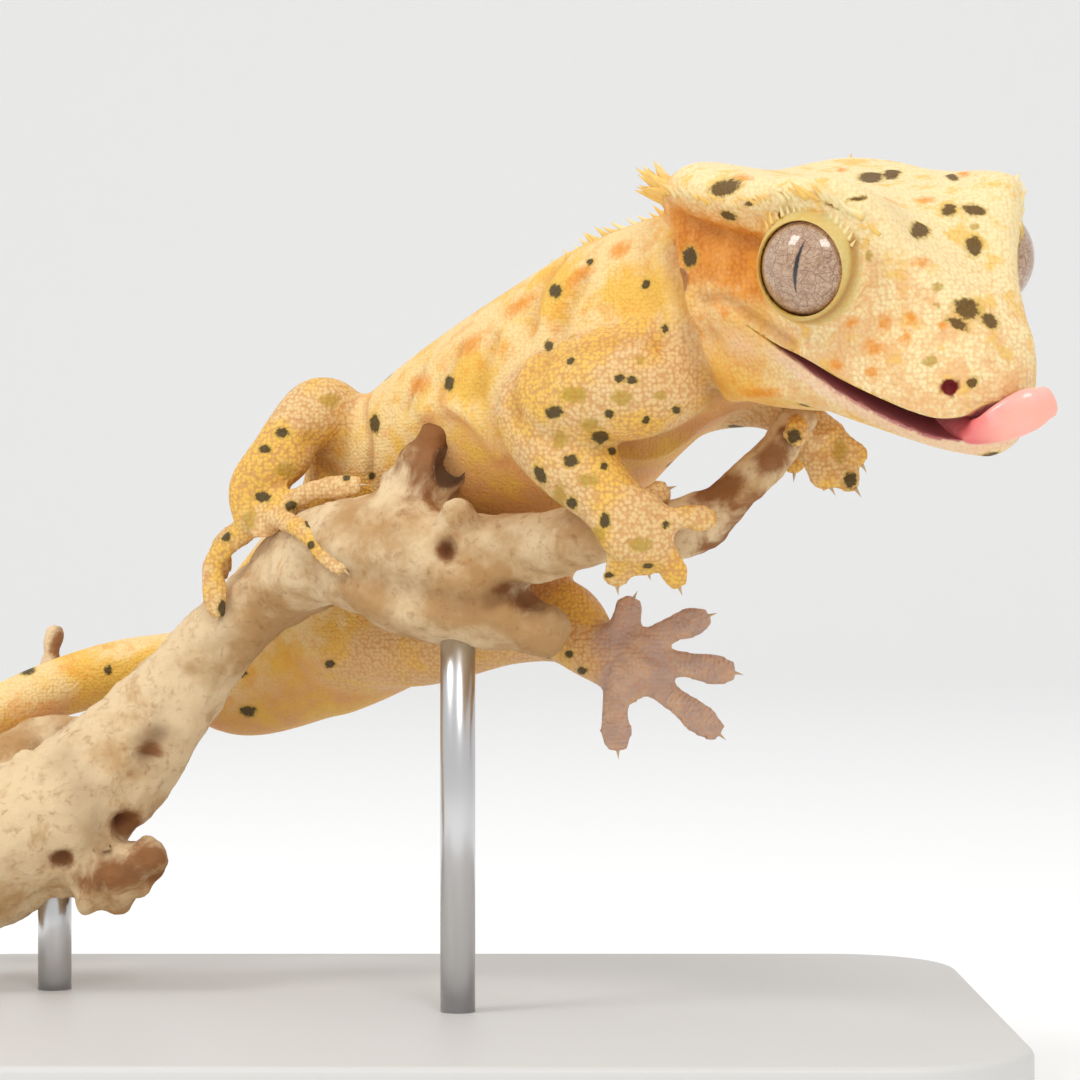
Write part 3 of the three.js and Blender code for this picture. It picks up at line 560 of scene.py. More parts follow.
LEFT_FOOT_TOES: list[ToePath] = [
    ((6.6, 28.6, -9.6), (7.8, 28.6, -7.2), (8.5, 28.8, -5.6)),
    ((8.8, 28.0, -9.8), (12.0, 27.4, -8.2), (15.2, 27.2, -7.0)),
    ((9.2, 27.8, -10.9), (13.4, 27.2, -11.4), (17.6, 27.2, -12.1)),
    ((8.8, 27.8, -12.0), (12.6, 27.2, -14.8), (16.2, 27.0, -17.6)),
    ((7.2, 28.0, -12.2), (6.8, 27.4, -15.6), (7.1, 27.2, -19.0)),
]
TOE_PAD, LONG_TOE_PAD = 1.25, 1.45
LIMBS = {"arm_right": (RIGHT_ARM, RIGHT_HAND_TOES, TOE_PAD),
         "arm_left": (LEFT_ARM, LEFT_HAND_TOES, TOE_PAD),
         "leg_right": (RIGHT_LEG, RIGHT_FOOT_TOES, TOE_PAD),
         "leg_left": (LEFT_LEG, LEFT_FOOT_TOES, LONG_TOE_PAD)}
TOE_GROUPS = [(paths, pad) for _, paths, pad in LIMBS.values()]


def toe(path: ToePath, pad: float) -> Sweep:
    """One toe, from the palm over a middle point to its padded tip."""
    root, middle, tip = (np.array(p) for p in path)
    thick = pad * 0.55
    before = middle + (tip - middle) * 0.6
    return Sweep([strap(*root, pad * 0.9, thick), strap(*middle, pad * 0.86, thick),
                  strap(*before, pad * 1.08, thick * 0.9), strap(*tip, pad * 0.8, thick * 0.6)],
                 FACING, square=2.2)


def webs(group: list[ToePath]) -> list[tuple[ToePath, ToePath]]:
    """Neighbouring toes, by the way they point from the palm."""
    heart = np.mean([path[0] for path in group], axis=0)
    ways = [math.atan2(path[1][2] - heart[2], path[1][0] - heart[0]) for path in group]
    order = sorted(range(len(group)), key=lambda i: ways[i])
    return [(group[order[i]], group[order[i + 1]]) for i in range(len(order) - 1)]


def web(one: ToePath, two: ToePath, pad: float) -> Sweep:
    """The thin skin between two toes."""
    root = (np.array(one[0]) + np.array(two[0])) / 2
    middle = (np.array(one[1]) + np.array(two[1])) / 2
    end = root + (middle - root) * 0.75
    half = root + (middle - root) * 0.35
    return Sweep([strap(*root, pad * 1.1, pad * 0.5), strap(*half, pad * 1.15, pad * 0.36),
                  strap(*end, pad * 1.0, pad * 0.2)], FACING, square=2.2)


STEM = Sweep([
    rod(-60.5, 42, -32.6, 7.2), rod(-56.1, 42, -30.9, 7.2), rod(-50.8, 42, -28.6, 7.0),
    rod(-45.0, 42, -25.4, 6.6), rod(-39.9, 43, -20.7, 5.6), rod(-36.1, 43.5, -15.9, 4.8),
    rod(-31.3, 43, -10.1, 3.8), rod(-25.9, 41, -5.2, 3.9), rod(-19.9, 36, -1.4, 5.0),
    rod(-13.0, 29.5, -2.0, 5.9), rod(-7.8, 27, -4.0, 5.6), rod(-3.2, 25.5, -6.6, 3.6),
    rod(0.3, 24, -8.3, 2.2),
], FACING, square=2.0, rough=0.035)
LIMB = Sweep([
    rod(-7.8, 27, -1.8, 4.4), rod(-1.8, 23, -0.7, 3.2), rod(5.3, 18, 0.4, 2.8),
    rod(10.5, 14.5, 0.9, 2.7), rod(14.0, 13.2, 1.6, 2.6), rod(17.8, 13.5, 4.6, 2.1),
    rod(20.9, 14.5, 8.2, 1.8), rod(22.6, 15, 10.4, 1.6),
], FACING, square=2.0, rough=0.04)
BROKEN_STUB = Sweep([rod(-13.0, 31, 1.4, 3.0), rod(-10.4, 29.0, 5.4, 3.2),
                     rod(-8.3, 27.4, 8.4, 3.2)],
                    FACING, square=2.0, rough=0.04)
HOLLOW = Sweep([rod(-8.4, 26.4, 6.2, 1.4), rod(-7.9, 25.2, 6.9, 1.7), rod(-7.3, 23.6, 7.7, 1.9)],
               FACING, square=2.0)
SMALL_STUB = Sweep([rod(-9.4, 25.2, -0.6, 2.0), rod(-7.2, 22.6, 2.3, 1.5)], FACING, square=2.0)
KNOB = Sweep([rod(-13.6, 29, 0.9, 2.2), rod(-13.3, 28.5, 4.2, 1.5)], FACING, square=2.0)
BARK = Sweep([(-45.0, 41, -30.2, 3.2, 3.4, 3.4, 0), (-41.0, 39.5, -31.8, 3.6, 3.2, 3.2, 0),
              (-37.0, 38.5, -30.4, 1.9, 2.2, 2.2, 0)], FACING, square=2.0, rough=0.12)
FORK = Sweep([rod(-52.0, 46, -25.5, 3.2), rod(-52.2, 50, -22.2, 2.8), rod(-48.7, 52.5, -19.6, 2.3),
              rod(-44.1, 52.5, -18.6, 1.5)], FACING, square=2.0, rough=0.05)
TWIG = Sweep([rod(-50.4, 52, -20.6, 1.5), rod(-50.6, 57, -19.8, 1.3), rod(-50.4, 64, -16.2, 1.1),
              rod(-50.2, 67, -9.6, 1.1)], (1, 0, 0), square=2.0)
CUT_END = np.array([-60.5, 42.0, -32.6])
CUT_DIRECTION = unit(np.array([1.0, 0.0, 0.4]))


def apply_modifiers(thing: bpy.types.Object) -> None:
    """Turns an object's live modifiers into its plain mesh."""
    graph = bpy.context.evaluated_depsgraph_get()
    made = bpy.data.meshes.new_from_object(thing.evaluated_get(graph))
    thing.modifiers.clear()
    old = thing.data
    thing.data = made
    bpy.data.meshes.remove(old)


def cut_with(thing: bpy.types.Object, shells: list[Shell]) -> None:
    """Takes closed shells out of an object."""
    cutters = [shell.mesh("cutter") for shell in shells]
    for cutter in cutters:
        cut = thing.modifiers.new("cut", "BOOLEAN")
        cut.operation = "DIFFERENCE"
        cut.solver = "MANIFOLD"
        cut.object = cutter
    apply_modifiers(thing)
    for cutter in cutters:
        bpy.data.objects.remove(cutter)


def remeshed(thing: bpy.types.Object, voxel: float) -> None:
    """Makes overlapping shells one closed surface, its faces about as wide as the voxel, in mm."""
    melt = thing.modifiers.new("melt", "REMESH")
    melt.mode = "VOXEL"
    melt.voxel_size = voxel * MM
    apply_modifiers(thing)


def read(items: bpy.types.bpy_prop_collection, name: str, width: int, kind: type) -> Array:
    """Reads a property of all points or edges, a row for each."""
    flat = np.empty(len(items) * width, kind)
    items.foreach_get(name, flat)
    return flat.reshape(-1, width)


def read_points(mesh: bpy.types.Mesh) -> Array:
    """A mesh's points in the animal's frame, in mm."""
    return read(mesh.vertices, "co", 3, np.float32).astype(float) / MM - ANIMAL_AT


def write_points(mesh: bpy.types.Mesh, points: Array) -> None:
    """Puts points back into a mesh."""
    mesh.vertices.foreach_set("co", ((points + ANIMAL_AT) * MM).astype(np.float32).ravel())
    mesh.update()


def read_normals(mesh: bpy.types.Mesh) -> Array:
    """A mesh's vertex normals."""
    return read(mesh.vertex_normals, "vector", 3, np.float32).astype(float)


def read_edges(mesh: bpy.types.Mesh) -> Array:
    """A mesh's edges as pairs of points."""
    return read(mesh.edges, "vertices", 2, np.int32)


def relax(points: Array, edges: Array, weight: Array, rounds: int) -> Array:
    """Smooths points towards their neighbours.

    Args:
        points: The points.
        edges: Pairs of neighbours.
        weight: How far each point may move, 0 to 1.
        rounds: How many times.

    Returns:
        The moved points.
    """
    n = len(points)
    a, b = edges[:, 0], edges[:, 1]
    count = np.bincount(a, minlength=n) + np.bincount(b, minlength=n)
    for _ in range(rounds):
        total = np.stack([np.bincount(a, points[b, k], n) + np.bincount(b, points[a, k], n)
                          for k in range(3)], axis=1)
        points = points + (total / count[:, None] - points) * weight[:, None]
    return points


def store(mesh: bpy.types.Mesh, name: str, values: Array) -> None:
    """Keeps a number for each point of a mesh."""
    kept = mesh.attributes.get(name) or mesh.attributes.new(name, "FLOAT", "POINT")
    kept.data.foreach_set("value", values.astype(np.float32))


def stored(mesh: bpy.types.Mesh, name: str) -> Array:
    """Reads a kept number back."""
    return read(mesh.attributes[name].data, "value", 1, np.float32)[:, 0]


def store_vectors(mesh: bpy.types.Mesh, name: str, values: Array) -> None:
    """Keeps a vector for each point of a mesh."""
    kept = mesh.attributes.new(name, "FLOAT_VECTOR", "POINT")
    kept.data.foreach_set("vector", values.astype(np.float32).ravel())


def shade_smooth(mesh: bpy.types.Mesh) -> None:
    """Shades a mesh smooth."""
    mesh.polygons.foreach_set("use_smooth", np.ones(len(mesh.polygons), bool))
    mesh.update()


@dataclass(frozen=True)
class Fold:
    """A sunk or raised fold of a surface, drawn along pixels where the camera sees it.

    Height is in mm and negative where it sinks. Shade is painted shade: how far it darkens the
    colour along the fold.
    """

    pixels: tuple[Pixel, ...]
    height: float
    width: float
    shade: float = 0.0
    mirrored: bool = False


@dataclass(frozen=True)
class Mark:
    """A coloured mark, an ellipse of pixels where the camera sees it."""

    x: float
    y: float
    wide: float
    high: float
    tilt: float = 0.0


def marks(*numbers: tuple[float, ...]) -> tuple[Mark, ...]:
    """Makes marks of their numbers."""
    return tuple(Mark(*one) for one in numbers)


class Sight:
    """Finds where the camera's rays meet a surface."""

    def __init__(self, mesh: bpy.types.Mesh) -> None:
        """Keeps a search tree of the mesh in the animal's frame."""
        faces = [tuple(face.vertices) for face in mesh.polygons]
        self.tree = BVHTree.FromPolygons(read_points(mesh).tolist(), faces)

    def hit(self, x: float, y: float) -> Array | None:
        """The point that the camera sees at a pixel, or None."""
        way = Vector(pixel_ray(x, y)).normalized()
        place = self.tree.ray_cast(Vector(CAMERA_AT), way)[0]
        return None if place is None else np.array(place)

    def line(self, pixels: tuple[Pixel, ...]) -> Array:
        """The surface points under a line of pixels, closely spaced."""
        found = [self.hit(x, y) for x, y in pixels]
        kept = np.array([place for place in found if place is not None])
        if len(kept) < 2:
            return kept
        return smooth_path(kept, np.linspace(0, 1, 14 * len(kept)))


def mirrored_in_head(points: Array) -> Array:
    """The same places on the other side of the head."""
    return from_head(to_head(points) * np.array([1.0, -1.0, 1.0]))


def nearest(points: Array, line: Array) -> Array:
    """Distance from each point to the nearest of a line's points."""
    best = np.full(len(points), 1e9)
    for place in line:
        best = np.minimum(best, np.sum((points - place) ** 2, axis=1))
    return np.sqrt(best)


def folded(points: Array, normals: Array, sight: Sight, folds: tuple[Fold, ...]
           ) -> tuple[Array, Array]:
    """Moves points out and in along the folds.

    Args:
        points: The surface's points.
        normals: Their normals.
        sight: The camera's view of the surface.
        folds: The folds to make.

    Returns:
        The moved points and the shade at each.
    """
    lift, shade = np.zeros(len(points)), np.zeros(len(points))
    for fold in folds:
        line = sight.line(fold.pixels)
        if not len(line):
            continue
        for side in (line, mirrored_in_head(line)) if fold.mirrored else (line,):
            near = bell(nearest(points, side), 0.0, fold.width)
            lift += fold.height * near
            shade = np.maximum(shade, fold.shade * near)
    return points + normals * lift[:, None], shade


def marked(points: Array, sight: Sight, marks: tuple[Mark, ...], reach: float = 1.7) -> Array:
    """How far inside its nearest mark each point is, 1 at the middle and 0 at twice its size."""
    seen = seen_at(points)
    value = np.zeros(len(points))
    for mark in marks:
        place = sight.hit(mark.x, mark.y)
        if place is None:
            continue
        tilt = math.radians(mark.tilt)
        off = seen - np.array([mark.x, mark.y])
        along = (off[:, 0] * math.cos(tilt) + off[:, 1] * math.sin(tilt)) / mark.wide
        across = (off[:, 1] * math.cos(tilt) - off[:, 0] * math.sin(tilt)) / mark.high
        size = 1 - 0.5 * np.sqrt(along ** 2 + across ** 2)
        limit = (0.6 + max(mark.wide, mark.high) / 12.0) * reach
        near = ease(limit, 0.7 * limit, np.linalg.norm(points - place, axis=1))
        value = np.maximum(value, np.clip(size, 0, 1) * near)
    return value


def sprinkled(points: Array, count: int, sizes: tuple[float, float], seed: int,
              allowed: Array) -> Array:
    """Like marked, for round marks at random allowed points, sizes in mm."""
    chance = np.random.default_rng(seed)
    value = np.zeros(len(points))
    places = points[chance.permutation(np.flatnonzero(allowed))[:count]]
    for place in places:
        size = chance.uniform(*sizes)
        stretch = unit(chance.normal(size=3))
        off = points - place
        along = off @ stretch
        away = np.sqrt(np.sum(off ** 2, axis=1) - 0.4 * along ** 2)
        value = np.maximum(value, np.clip(1 - 0.5 * away / size, 0, 1))
    return value


# The skin's folds. The fourth number, where given, is the painted shade that darkens the colour
# along the fold.
HEAD_FOLDS = (
    Fold(((659, 202), (685, 219), (732, 236), (760, 246)), -0.45, 0.9, 0.45, True),
    Fold(((652, 190), (690, 211), (735, 226), (765, 228)), 0.35, 0.8, 0.0, True),
    Fold(((701, 299), (724, 299), (744, 311), (769, 328), (792, 344)), -0.45, 0.5, 0.5, True),
    Fold(((712, 306), (735, 318), (762, 338), (786, 356)), 0.3, 0.8, 0.0, True),
    Fold(((662, 206), (671, 248), (679, 298), (693, 343), (707, 377), (722, 403)), -0.9, 0.9, 0.35),
    Fold(((679, 242), (688, 298), (704, 355), (722, 391)), 0.45, 0.9),
    Fold(((730, 395), (755, 391), (788, 393)), 0.5, 0.9),
    Fold(((853, 242), (855, 270), (845, 299), (826, 318), (800, 324)), -0.4, 0.4, 0.7, True),
    Fold(((700, 330), (722, 352), (752, 372), (790, 384)), -0.25, 1.2, 0.1, True),
    Fold(((860, 232), (880, 262), (902, 300), (925, 345)), 0.3, 1.8, 0.0, True),
    Fold(((905, 175), (915, 215), (925, 262), (938, 310)), -0.35, 2.4),
)
BODY_FOLDS = (
    Fold(((600, 232), (580, 282), (560, 330), (540, 362)), -0.6, 0.9, 0.25),
    Fold(((558, 262), (530, 318), (512, 372), (515, 415)), -0.7, 0.9, 0.3),
    Fold(((520, 282), (492, 340), (478, 395)), -0.6, 0.9, 0.25),
    Fold(((482, 306), (455, 352), (440, 402)), -0.6, 0.9, 0.25),
    Fold(((446, 330), (420, 372), (404, 408)), -0.5, 0.8, 0.25),
    Fold(((425, 412), (448, 404), (475, 420), (500, 452)), 0.7, 1.0),
    Fold(((622, 456), (650, 455), (674, 445), (707, 418), (748, 405)), 0.5, 0.9),
    Fold(((530, 372), (600, 342), (660, 340), (712, 336)), -0.4, 0.9, 0.25),
    Fold(((640, 250), (652, 300), (664, 350)), -0.35, 1.0, 0.1),
    Fold(((310, 440), (318, 462), (330, 474)), -0.6, 1.0, 0.3),
    Fold(((366, 400), (368, 440), (369, 480)), -0.5, 0.6, 0.5),
    Fold(((545, 395), (570, 405), (600, 402)), -0.15, 1.2),
    Fold(((600, 440), (625, 452), (636, 480)), -0.25, 0.9, 0.1),
    Fold(((622, 640), (645, 654), (672, 668)), -0.3, 0.5, 0.12),
    Fold(((628, 630), (652, 633), (676, 640)), -0.25, 0.45, 0.12),
    Fold(((618, 655), (632, 676), (650, 692)), -0.25, 0.5, 0.12),
    Fold(((596, 640), (604, 662), (606, 684)), -0.2, 0.45, 0.1),
)
DARK_MARKS = marks(
    (725, 188, 15, 7, -16), (729, 216, 8, 4, 20), (750, 203, 5, 3, -20), (871, 177, 11, 7, -8),
    (892, 173, 8, 6, -25), (921, 229, 10, 8, -25), (949, 210, 7, 6, -25), (974, 210, 11, 5, 12),
    (974, 246, 8, 9), (967, 309, 12, 9, 15), (990, 321, 9, 6, 35), (957, 324, 13, 4, 28),
    (690, 257, 7, 9), (952, 177, 8, 3, 28), (836, 206, 10, 2.5, 15), (858, 198, 9, 2, -3),
    (781, 215, 3, 4), (972, 383, 5, 5), (660, 205, 4, 6, -30),
    (632, 218, 9, 5), (556, 291, 6, 7), (482, 302, 9, 4, -35), (449, 383, 5, 7),
    (549, 346, 4, 6), (665, 329, 4, 5), (375, 424, 5, 9), (646, 284, 4, 5), (590, 262, 4, 3),
    (554, 412, 8, 6), (632, 380, 6, 4), (619, 378, 5, 4), (571, 361, 4, 4), (600, 437, 8, 6),
    (612, 451, 4, 4), (571, 461, 7, 6), (604, 466, 4, 4), (540, 475, 5, 9, -25),
    (572, 503, 5, 6), (573, 519, 6, 4), (605, 521, 5, 8), (666, 525, 4, 4), (648, 566, 5, 3),
    (609, 575, 5, 3), (676, 410, 4, 4), (646, 420, 4, 4), (609, 414, 5, 4),
    (794, 436, 7, 7), (263, 497, 8, 5), (291, 506, 6, 5), (310, 523, 5, 5), (311, 545, 4, 4),
    (306, 561, 8, 4), (282, 433, 7, 5), (265, 449, 6, 4), (239, 590, 5, 8), (223, 609, 5, 8),
    (347, 478, 4, 3), (372, 476, 4, 3), (226, 537, 5, 5), (248, 711, 8, 5), (242, 673, 5, 4),
    (227, 688, 4, 4), (547, 654, 5, 5), (582, 671, 5, 4), (569, 654, 4, 4), (27, 670, 7, 5),
    (108, 670, 4, 5), (850, 480, 6, 8), (455, 640, 7, 5), (330, 664, 5, 4),
)
OLIVE_MARKS = marks(
    (938, 287, 6, 6), (930, 361, 9, 6), (975, 227, 6, 4), (869, 256, 4, 7), (937, 305, 7, 3, 50),
    (792, 362, 4, 4), (575, 395, 14, 9), (622, 398, 12, 8), (590, 425, 10, 8), (560, 440, 8, 10),
    (588, 480, 12, 8), (560, 495, 7, 12), (595, 535, 12, 10), (640, 545, 14, 8), (660, 395, 8, 5),
    (640, 360, 6, 5), (285, 470, 12, 8), (330, 400, 10, 8), (250, 520, 8, 12), (840, 450, 8, 14),
)
ORANGE_MARKS = marks(
    (692, 278, 6, 8), (724, 313, 8, 11), (842, 170, 6, 3), (963, 174, 7, 4), (874, 348, 13, 11),
    (872, 372, 8, 7), (884, 322, 9, 12), (905, 338, 7, 9), (922, 262, 12, 6), (925, 200, 12, 4),
    (745, 293, 18, 12), (851, 322, 8, 6), (760, 393, 26, 7), (836, 366, 8, 8), (812, 213, 16, 5),
    (765, 164, 14, 3), (742, 178, 12, 4), (912, 318, 8, 7), (943, 325, 6, 5), (712, 240, 26, 13),
    (738, 262, 24, 14), (755, 290, 16, 12), (700, 225, 20, 8), (620, 250, 14, 8, -30),
    (580, 275, 20, 7, -35), (520, 305, 22, 8, -35), (470, 345, 18, 9, -40), (420, 385, 16, 9, -45),
)


def closeness(points: Array, sweep: Sweep, until: float = 1.0) -> Array:
    """Distance to a sweep's path in parts of its size there."""
    ts = np.linspace(0, until, 50)
    middle = sweep.at(ts)
    size = (sweep.value(3, ts) + sweep.value(4, ts)) / 2
    best = np.full(len(points), 1e9)
    for place, radius in zip(middle, size):
        best = np.minimum(best, np.linalg.norm(points - place, axis=1) / radius)
    return best


def spread(values: Array, edges: Array, rounds: int) -> Array:
    """Smooths a number over a mesh."""
    n = len(values)
    a, b = edges[:, 0], edges[:, 1]
    count = np.bincount(a, minlength=n) + np.bincount(b, minlength=n)
    for _ in range(rounds):
        values = (np.bincount(a, values[b], n) + np.bincount(b, values[a], n)) / count
    return values


@dataclass
class Zones:
    """Where the parts of the body are on a skin, each 0 to 1."""

    points: Array
    edges: Array
    weight: dict[str, Array] = field(default_factory=dict)

    def find(self) -> None:
        """Gives every point to the nearest part, with soft limits."""
        h = to_head(self.points)
        skull = np.array([[x, 0.0, -3.0 - 0.15 * (x + 18)] for x in np.linspace(-14, 13, 20)])
        size = np.interp(skull[:, 0], [-14, 0, 13], [10.5, 9.5, 4.0])
        head = np.min([np.linalg.norm(h - c, axis=1) / s for c, s in zip(skull, size)], axis=0)
        head = np.where(h[:, 0] < -21, FAR, head)
        parts = {"head": head, "trunk": closeness(self.points, TRUNK)}
        close = np.full(len(self.points), np.inf)
        for name, (limb, paths, _) in LIMBS.items():
            lines = np.vstack([smooth_path(np.array(path), np.linspace(0, 1, 8)) for path in paths])
            toes = nearest(self.points, lines) / 1.3
            close = np.minimum(close, toes)
            parts[name] = np.minimum(closeness(self.points, limb), toes)
        scores = np.array(list(parts.values()))
        order = np.sort(scores, axis=0)
        self.weight["seam"] = spread(1 - ease(0.05, 0.45, order[1] - order[0]), self.edges, 2)
        owner = np.argmin(scores, axis=0)
        for i, name in enumerate(parts):
            self.weight[name] = spread((owner == i).astype(float), self.edges, 6)
        self.weight["toes"] = spread((close < 1.5).astype(float), self.edges, 3)

    def __getitem__(self, name: str) -> Array:
        """One part's weight."""
        return self.weight[name]


class Value:
    """A shader socket on which arithmetic adds nodes."""

    def __init__(self, nodes: "Nodes", socket: bpy.types.NodeSocket) -> None:
        """Keeps the socket and the material that it is in."""
        self.nodes, self.socket = nodes, socket

    def __add__(self, other: "Value | float") -> "Value":
        """This plus another."""
        return self.nodes.math("ADD", self, other)

    def __sub__(self, other: "Value | float") -> "Value":
        """This less another."""
        return self.nodes.math("SUBTRACT", self, other)

    def __rsub__(self, other: float) -> "Value":
        """A number less this."""
        return self.nodes.math("SUBTRACT", other, self)

    def __mul__(self, other: "Value | float") -> "Value":
        """This times another."""
        return self.nodes.math("MULTIPLY", self, other)

    def __truediv__(self, other: "Value | float") -> "Value":
        """This divided by another."""
        return self.nodes.math("DIVIDE", self, other)


Colour = Point
Given = Value | bpy.types.NodeSocket | float | str | tuple[float, ...]


def wired(tree: bpy.types.NodeTree, kind: str, inputs: dict[str | int, Given],
          output: str | int | None = 0, **settings: object) -> bpy.types.NodeSocket | None:
    """Adds a node to a tree, set and linked.

    Args:
        tree: The shader or geometry nodes.
        kind: The node's type.
        inputs: What each input takes, a number, a colour or another node's output.
        output: The output that is wanted, or None.
        settings: The node's own properties.

    Returns:
        The wanted output.
    """
    made = tree.nodes.new(kind)
    for name, value in settings.items():
        setattr(made, name, value)
    for name, value in inputs.items():
        feed(tree, made.inputs[name], value)
    return None if output is None else made.outputs[output]


def feed(tree: bpy.types.NodeTree, target: bpy.types.NodeSocket, value: Given) -> None:
    """Links a socket, or sets it to a constant. A colour may leave out its alpha."""
    if isinstance(value, Value):
        value = value.socket
    if isinstance(value, bpy.types.NodeSocket):
        tree.links.new(value, target)
    elif target.type == "RGBA" and len(value) == 3:
        target.default_value = (*value, 1.0)
    else:
        target.default_value = value


def grain_group() -> bpy.types.NodeTree:
    """The shader node group that skin, tongue and wood share: noise, as a mask and as a bump.

    Returns:
        The group. Its inputs are the place, the noise's settings, the bump's Depth in metres, its
        Strength and the Normal that it starts from. Its outputs are Fac and Normal.
    """
    tree = bpy.data.node_groups.new("grain", "ShaderNodeTree")
    for name in ("Vector", "Normal", "Scale", "Detail", "Roughness", "Distortion", "Depth",
                 "Strength"):
        kind = "NodeSocketVector" if name in ("Vector", "Normal") else "NodeSocketFloat"
        tree.interface.new_socket(name, in_out="INPUT", socket_type=kind)
    tree.interface.new_socket("Fac", in_out="OUTPUT", socket_type="NodeSocketFloat")
    tree.interface.new_socket("Normal", in_out="OUTPUT", socket_type="NodeSocketVector")
    given = tree.nodes.new("NodeGroupInput").outputs
    settings = {name: given[name]
                for name in ("Vector", "Scale", "Detail", "Roughness", "Distortion")}
    mask = wired(tree, "ShaderNodeTexNoise", settings, "Fac")
    normal = wired(tree, "ShaderNodeBump", {"Height": mask, "Distance": given["Depth"],
                                            "Strength": given["Strength"],
                                            "Normal": given["Normal"]})
    result = tree.nodes.new("NodeGroupOutput").inputs
    tree.links.new(mask, result["Fac"])
    tree.links.new(normal, result["Normal"])
    return tree


class Nodes:
    """A short way to write a material's nodes."""

    def __init__(self, name: str) -> None:
        """Starts an empty material."""
        self.material = bpy.data.materials.new(name)
        self.material.use_nodes = True
        self.tree = self.material.node_tree
        self.tree.nodes.clear()
        self.shader = self.tree.nodes.new("ShaderNodeBsdfPrincipled")
        wired(self.tree, "ShaderNodeOutputMaterial", {"Surface": self.shader.outputs[0]}, None)

    def shade(self, **values: Given) -> bpy.types.Material:
        """Sets or links the shader's own sockets, with spaces written as underscores."""
        for name, value in values.items():
            feed(self.tree, self.shader.inputs[name.replace("_", " ")], value)
        return self.material

    def node(self, kind: str, inputs: dict[str | int, Given], output: str | int = 0,
             **settings: object) -> Value:
        """Adds a node."""
        return Value(self, wired(self.tree, "ShaderNode" + kind, inputs, output, **settings))

    def place(self) -> Value:
        """Object coordinates."""
        return self.node("TexCoord", {}, "Object")

    def attribute(self, name: str, output: str = "Fac") -> Value:
        """A stored number or vector."""
        return self.node("Attribute", {}, output, attribute_name=name)

    def __getitem__(self, name: str) -> Value:
        """A stored number."""
        return self.attribute(name)

    def math(self, operation: str, *values: Value | float, clamp: bool = False) -> Value:
        """One step of arithmetic."""
        return self.node("Math", dict(enumerate(values)), operation=operation, use_clamp=clamp)

    def between(self, value: Value, low: float, high: float) -> Value:
        """Rises smoothly from 0 at low to 1 at high."""
        return self.node("MapRange", {"Value": value, "From Min": low, "From Max": high},
                         interpolation_type="SMOOTHSTEP")

    def noise(self, scale: float, detail: float = 3.0, rough: float = 0.5, warp: float = 0.0,
              source: Value | None = None) -> Value:
        """Noise on object coordinates or a given source, scale in features for each metre."""
        return self.node("TexNoise",
                         {"Scale": scale, "Detail": detail, "Roughness": rough, "Distortion": warp,
                          "Vector": source or self.place()}, "Fac")

    def cells(self, scale: float, feature: str = "F1", source: Value | None = None) -> Value:
        """A pattern of cells: the distance to a cell's middle or edge."""
        return self.node("TexVoronoi",
                         {"Scale": scale, "Randomness": 0.7, "Vector": source or self.place()},
                         "Distance", feature=feature)

    def mix(self, factor: Value | float, low: Value | Colour, high: Value | Colour) -> Value:
        """Mixes two colours."""
        return self.node("Mix", {0: factor, 6: low, 7: high}, 2, data_type="RGBA")

    def bump(self, height: Value, depth: float, strength: float) -> Value:
        """A bump, depth in mm."""
        return self.node("Bump", {"Distance": depth * MM, "Strength": strength, "Height": height})

    def grain(self, scale: float, detail: float, rough: float, warp: float, depth: float,
              strength: float, before: Value | None = None) -> tuple[Value, Value]:
        """The shared grain, depth in mm.

        Args:
            scale: The noise's features for each metre.
            detail: Its octaves.
            rough: How strong the finer ones are.
            warp: How far it is bent by itself.
            depth: How deep the bump is.
            strength: How strongly it shows.
            before: The normal under it, or the surface's own.

        Returns:
            The mask and the normal.
        """
        group = bpy.data.node_groups.get("grain") or grain_group()
        made = self.tree.nodes.new("ShaderNodeGroup")
        made.node_tree = group
        normal = before or self.node("NewGeometry", {}, "Normal")
        for name, value in (("Vector", self.place()), ("Normal", normal), ("Scale", scale),
                            ("Detail", detail), ("Roughness", rough), ("Distortion", warp),
                            ("Depth", depth * MM), ("Strength", strength)):
            feed(self.tree, made.inputs[name], value)
        return Value(self, made.outputs["Fac"]), Value(self, made.outputs["Normal"])


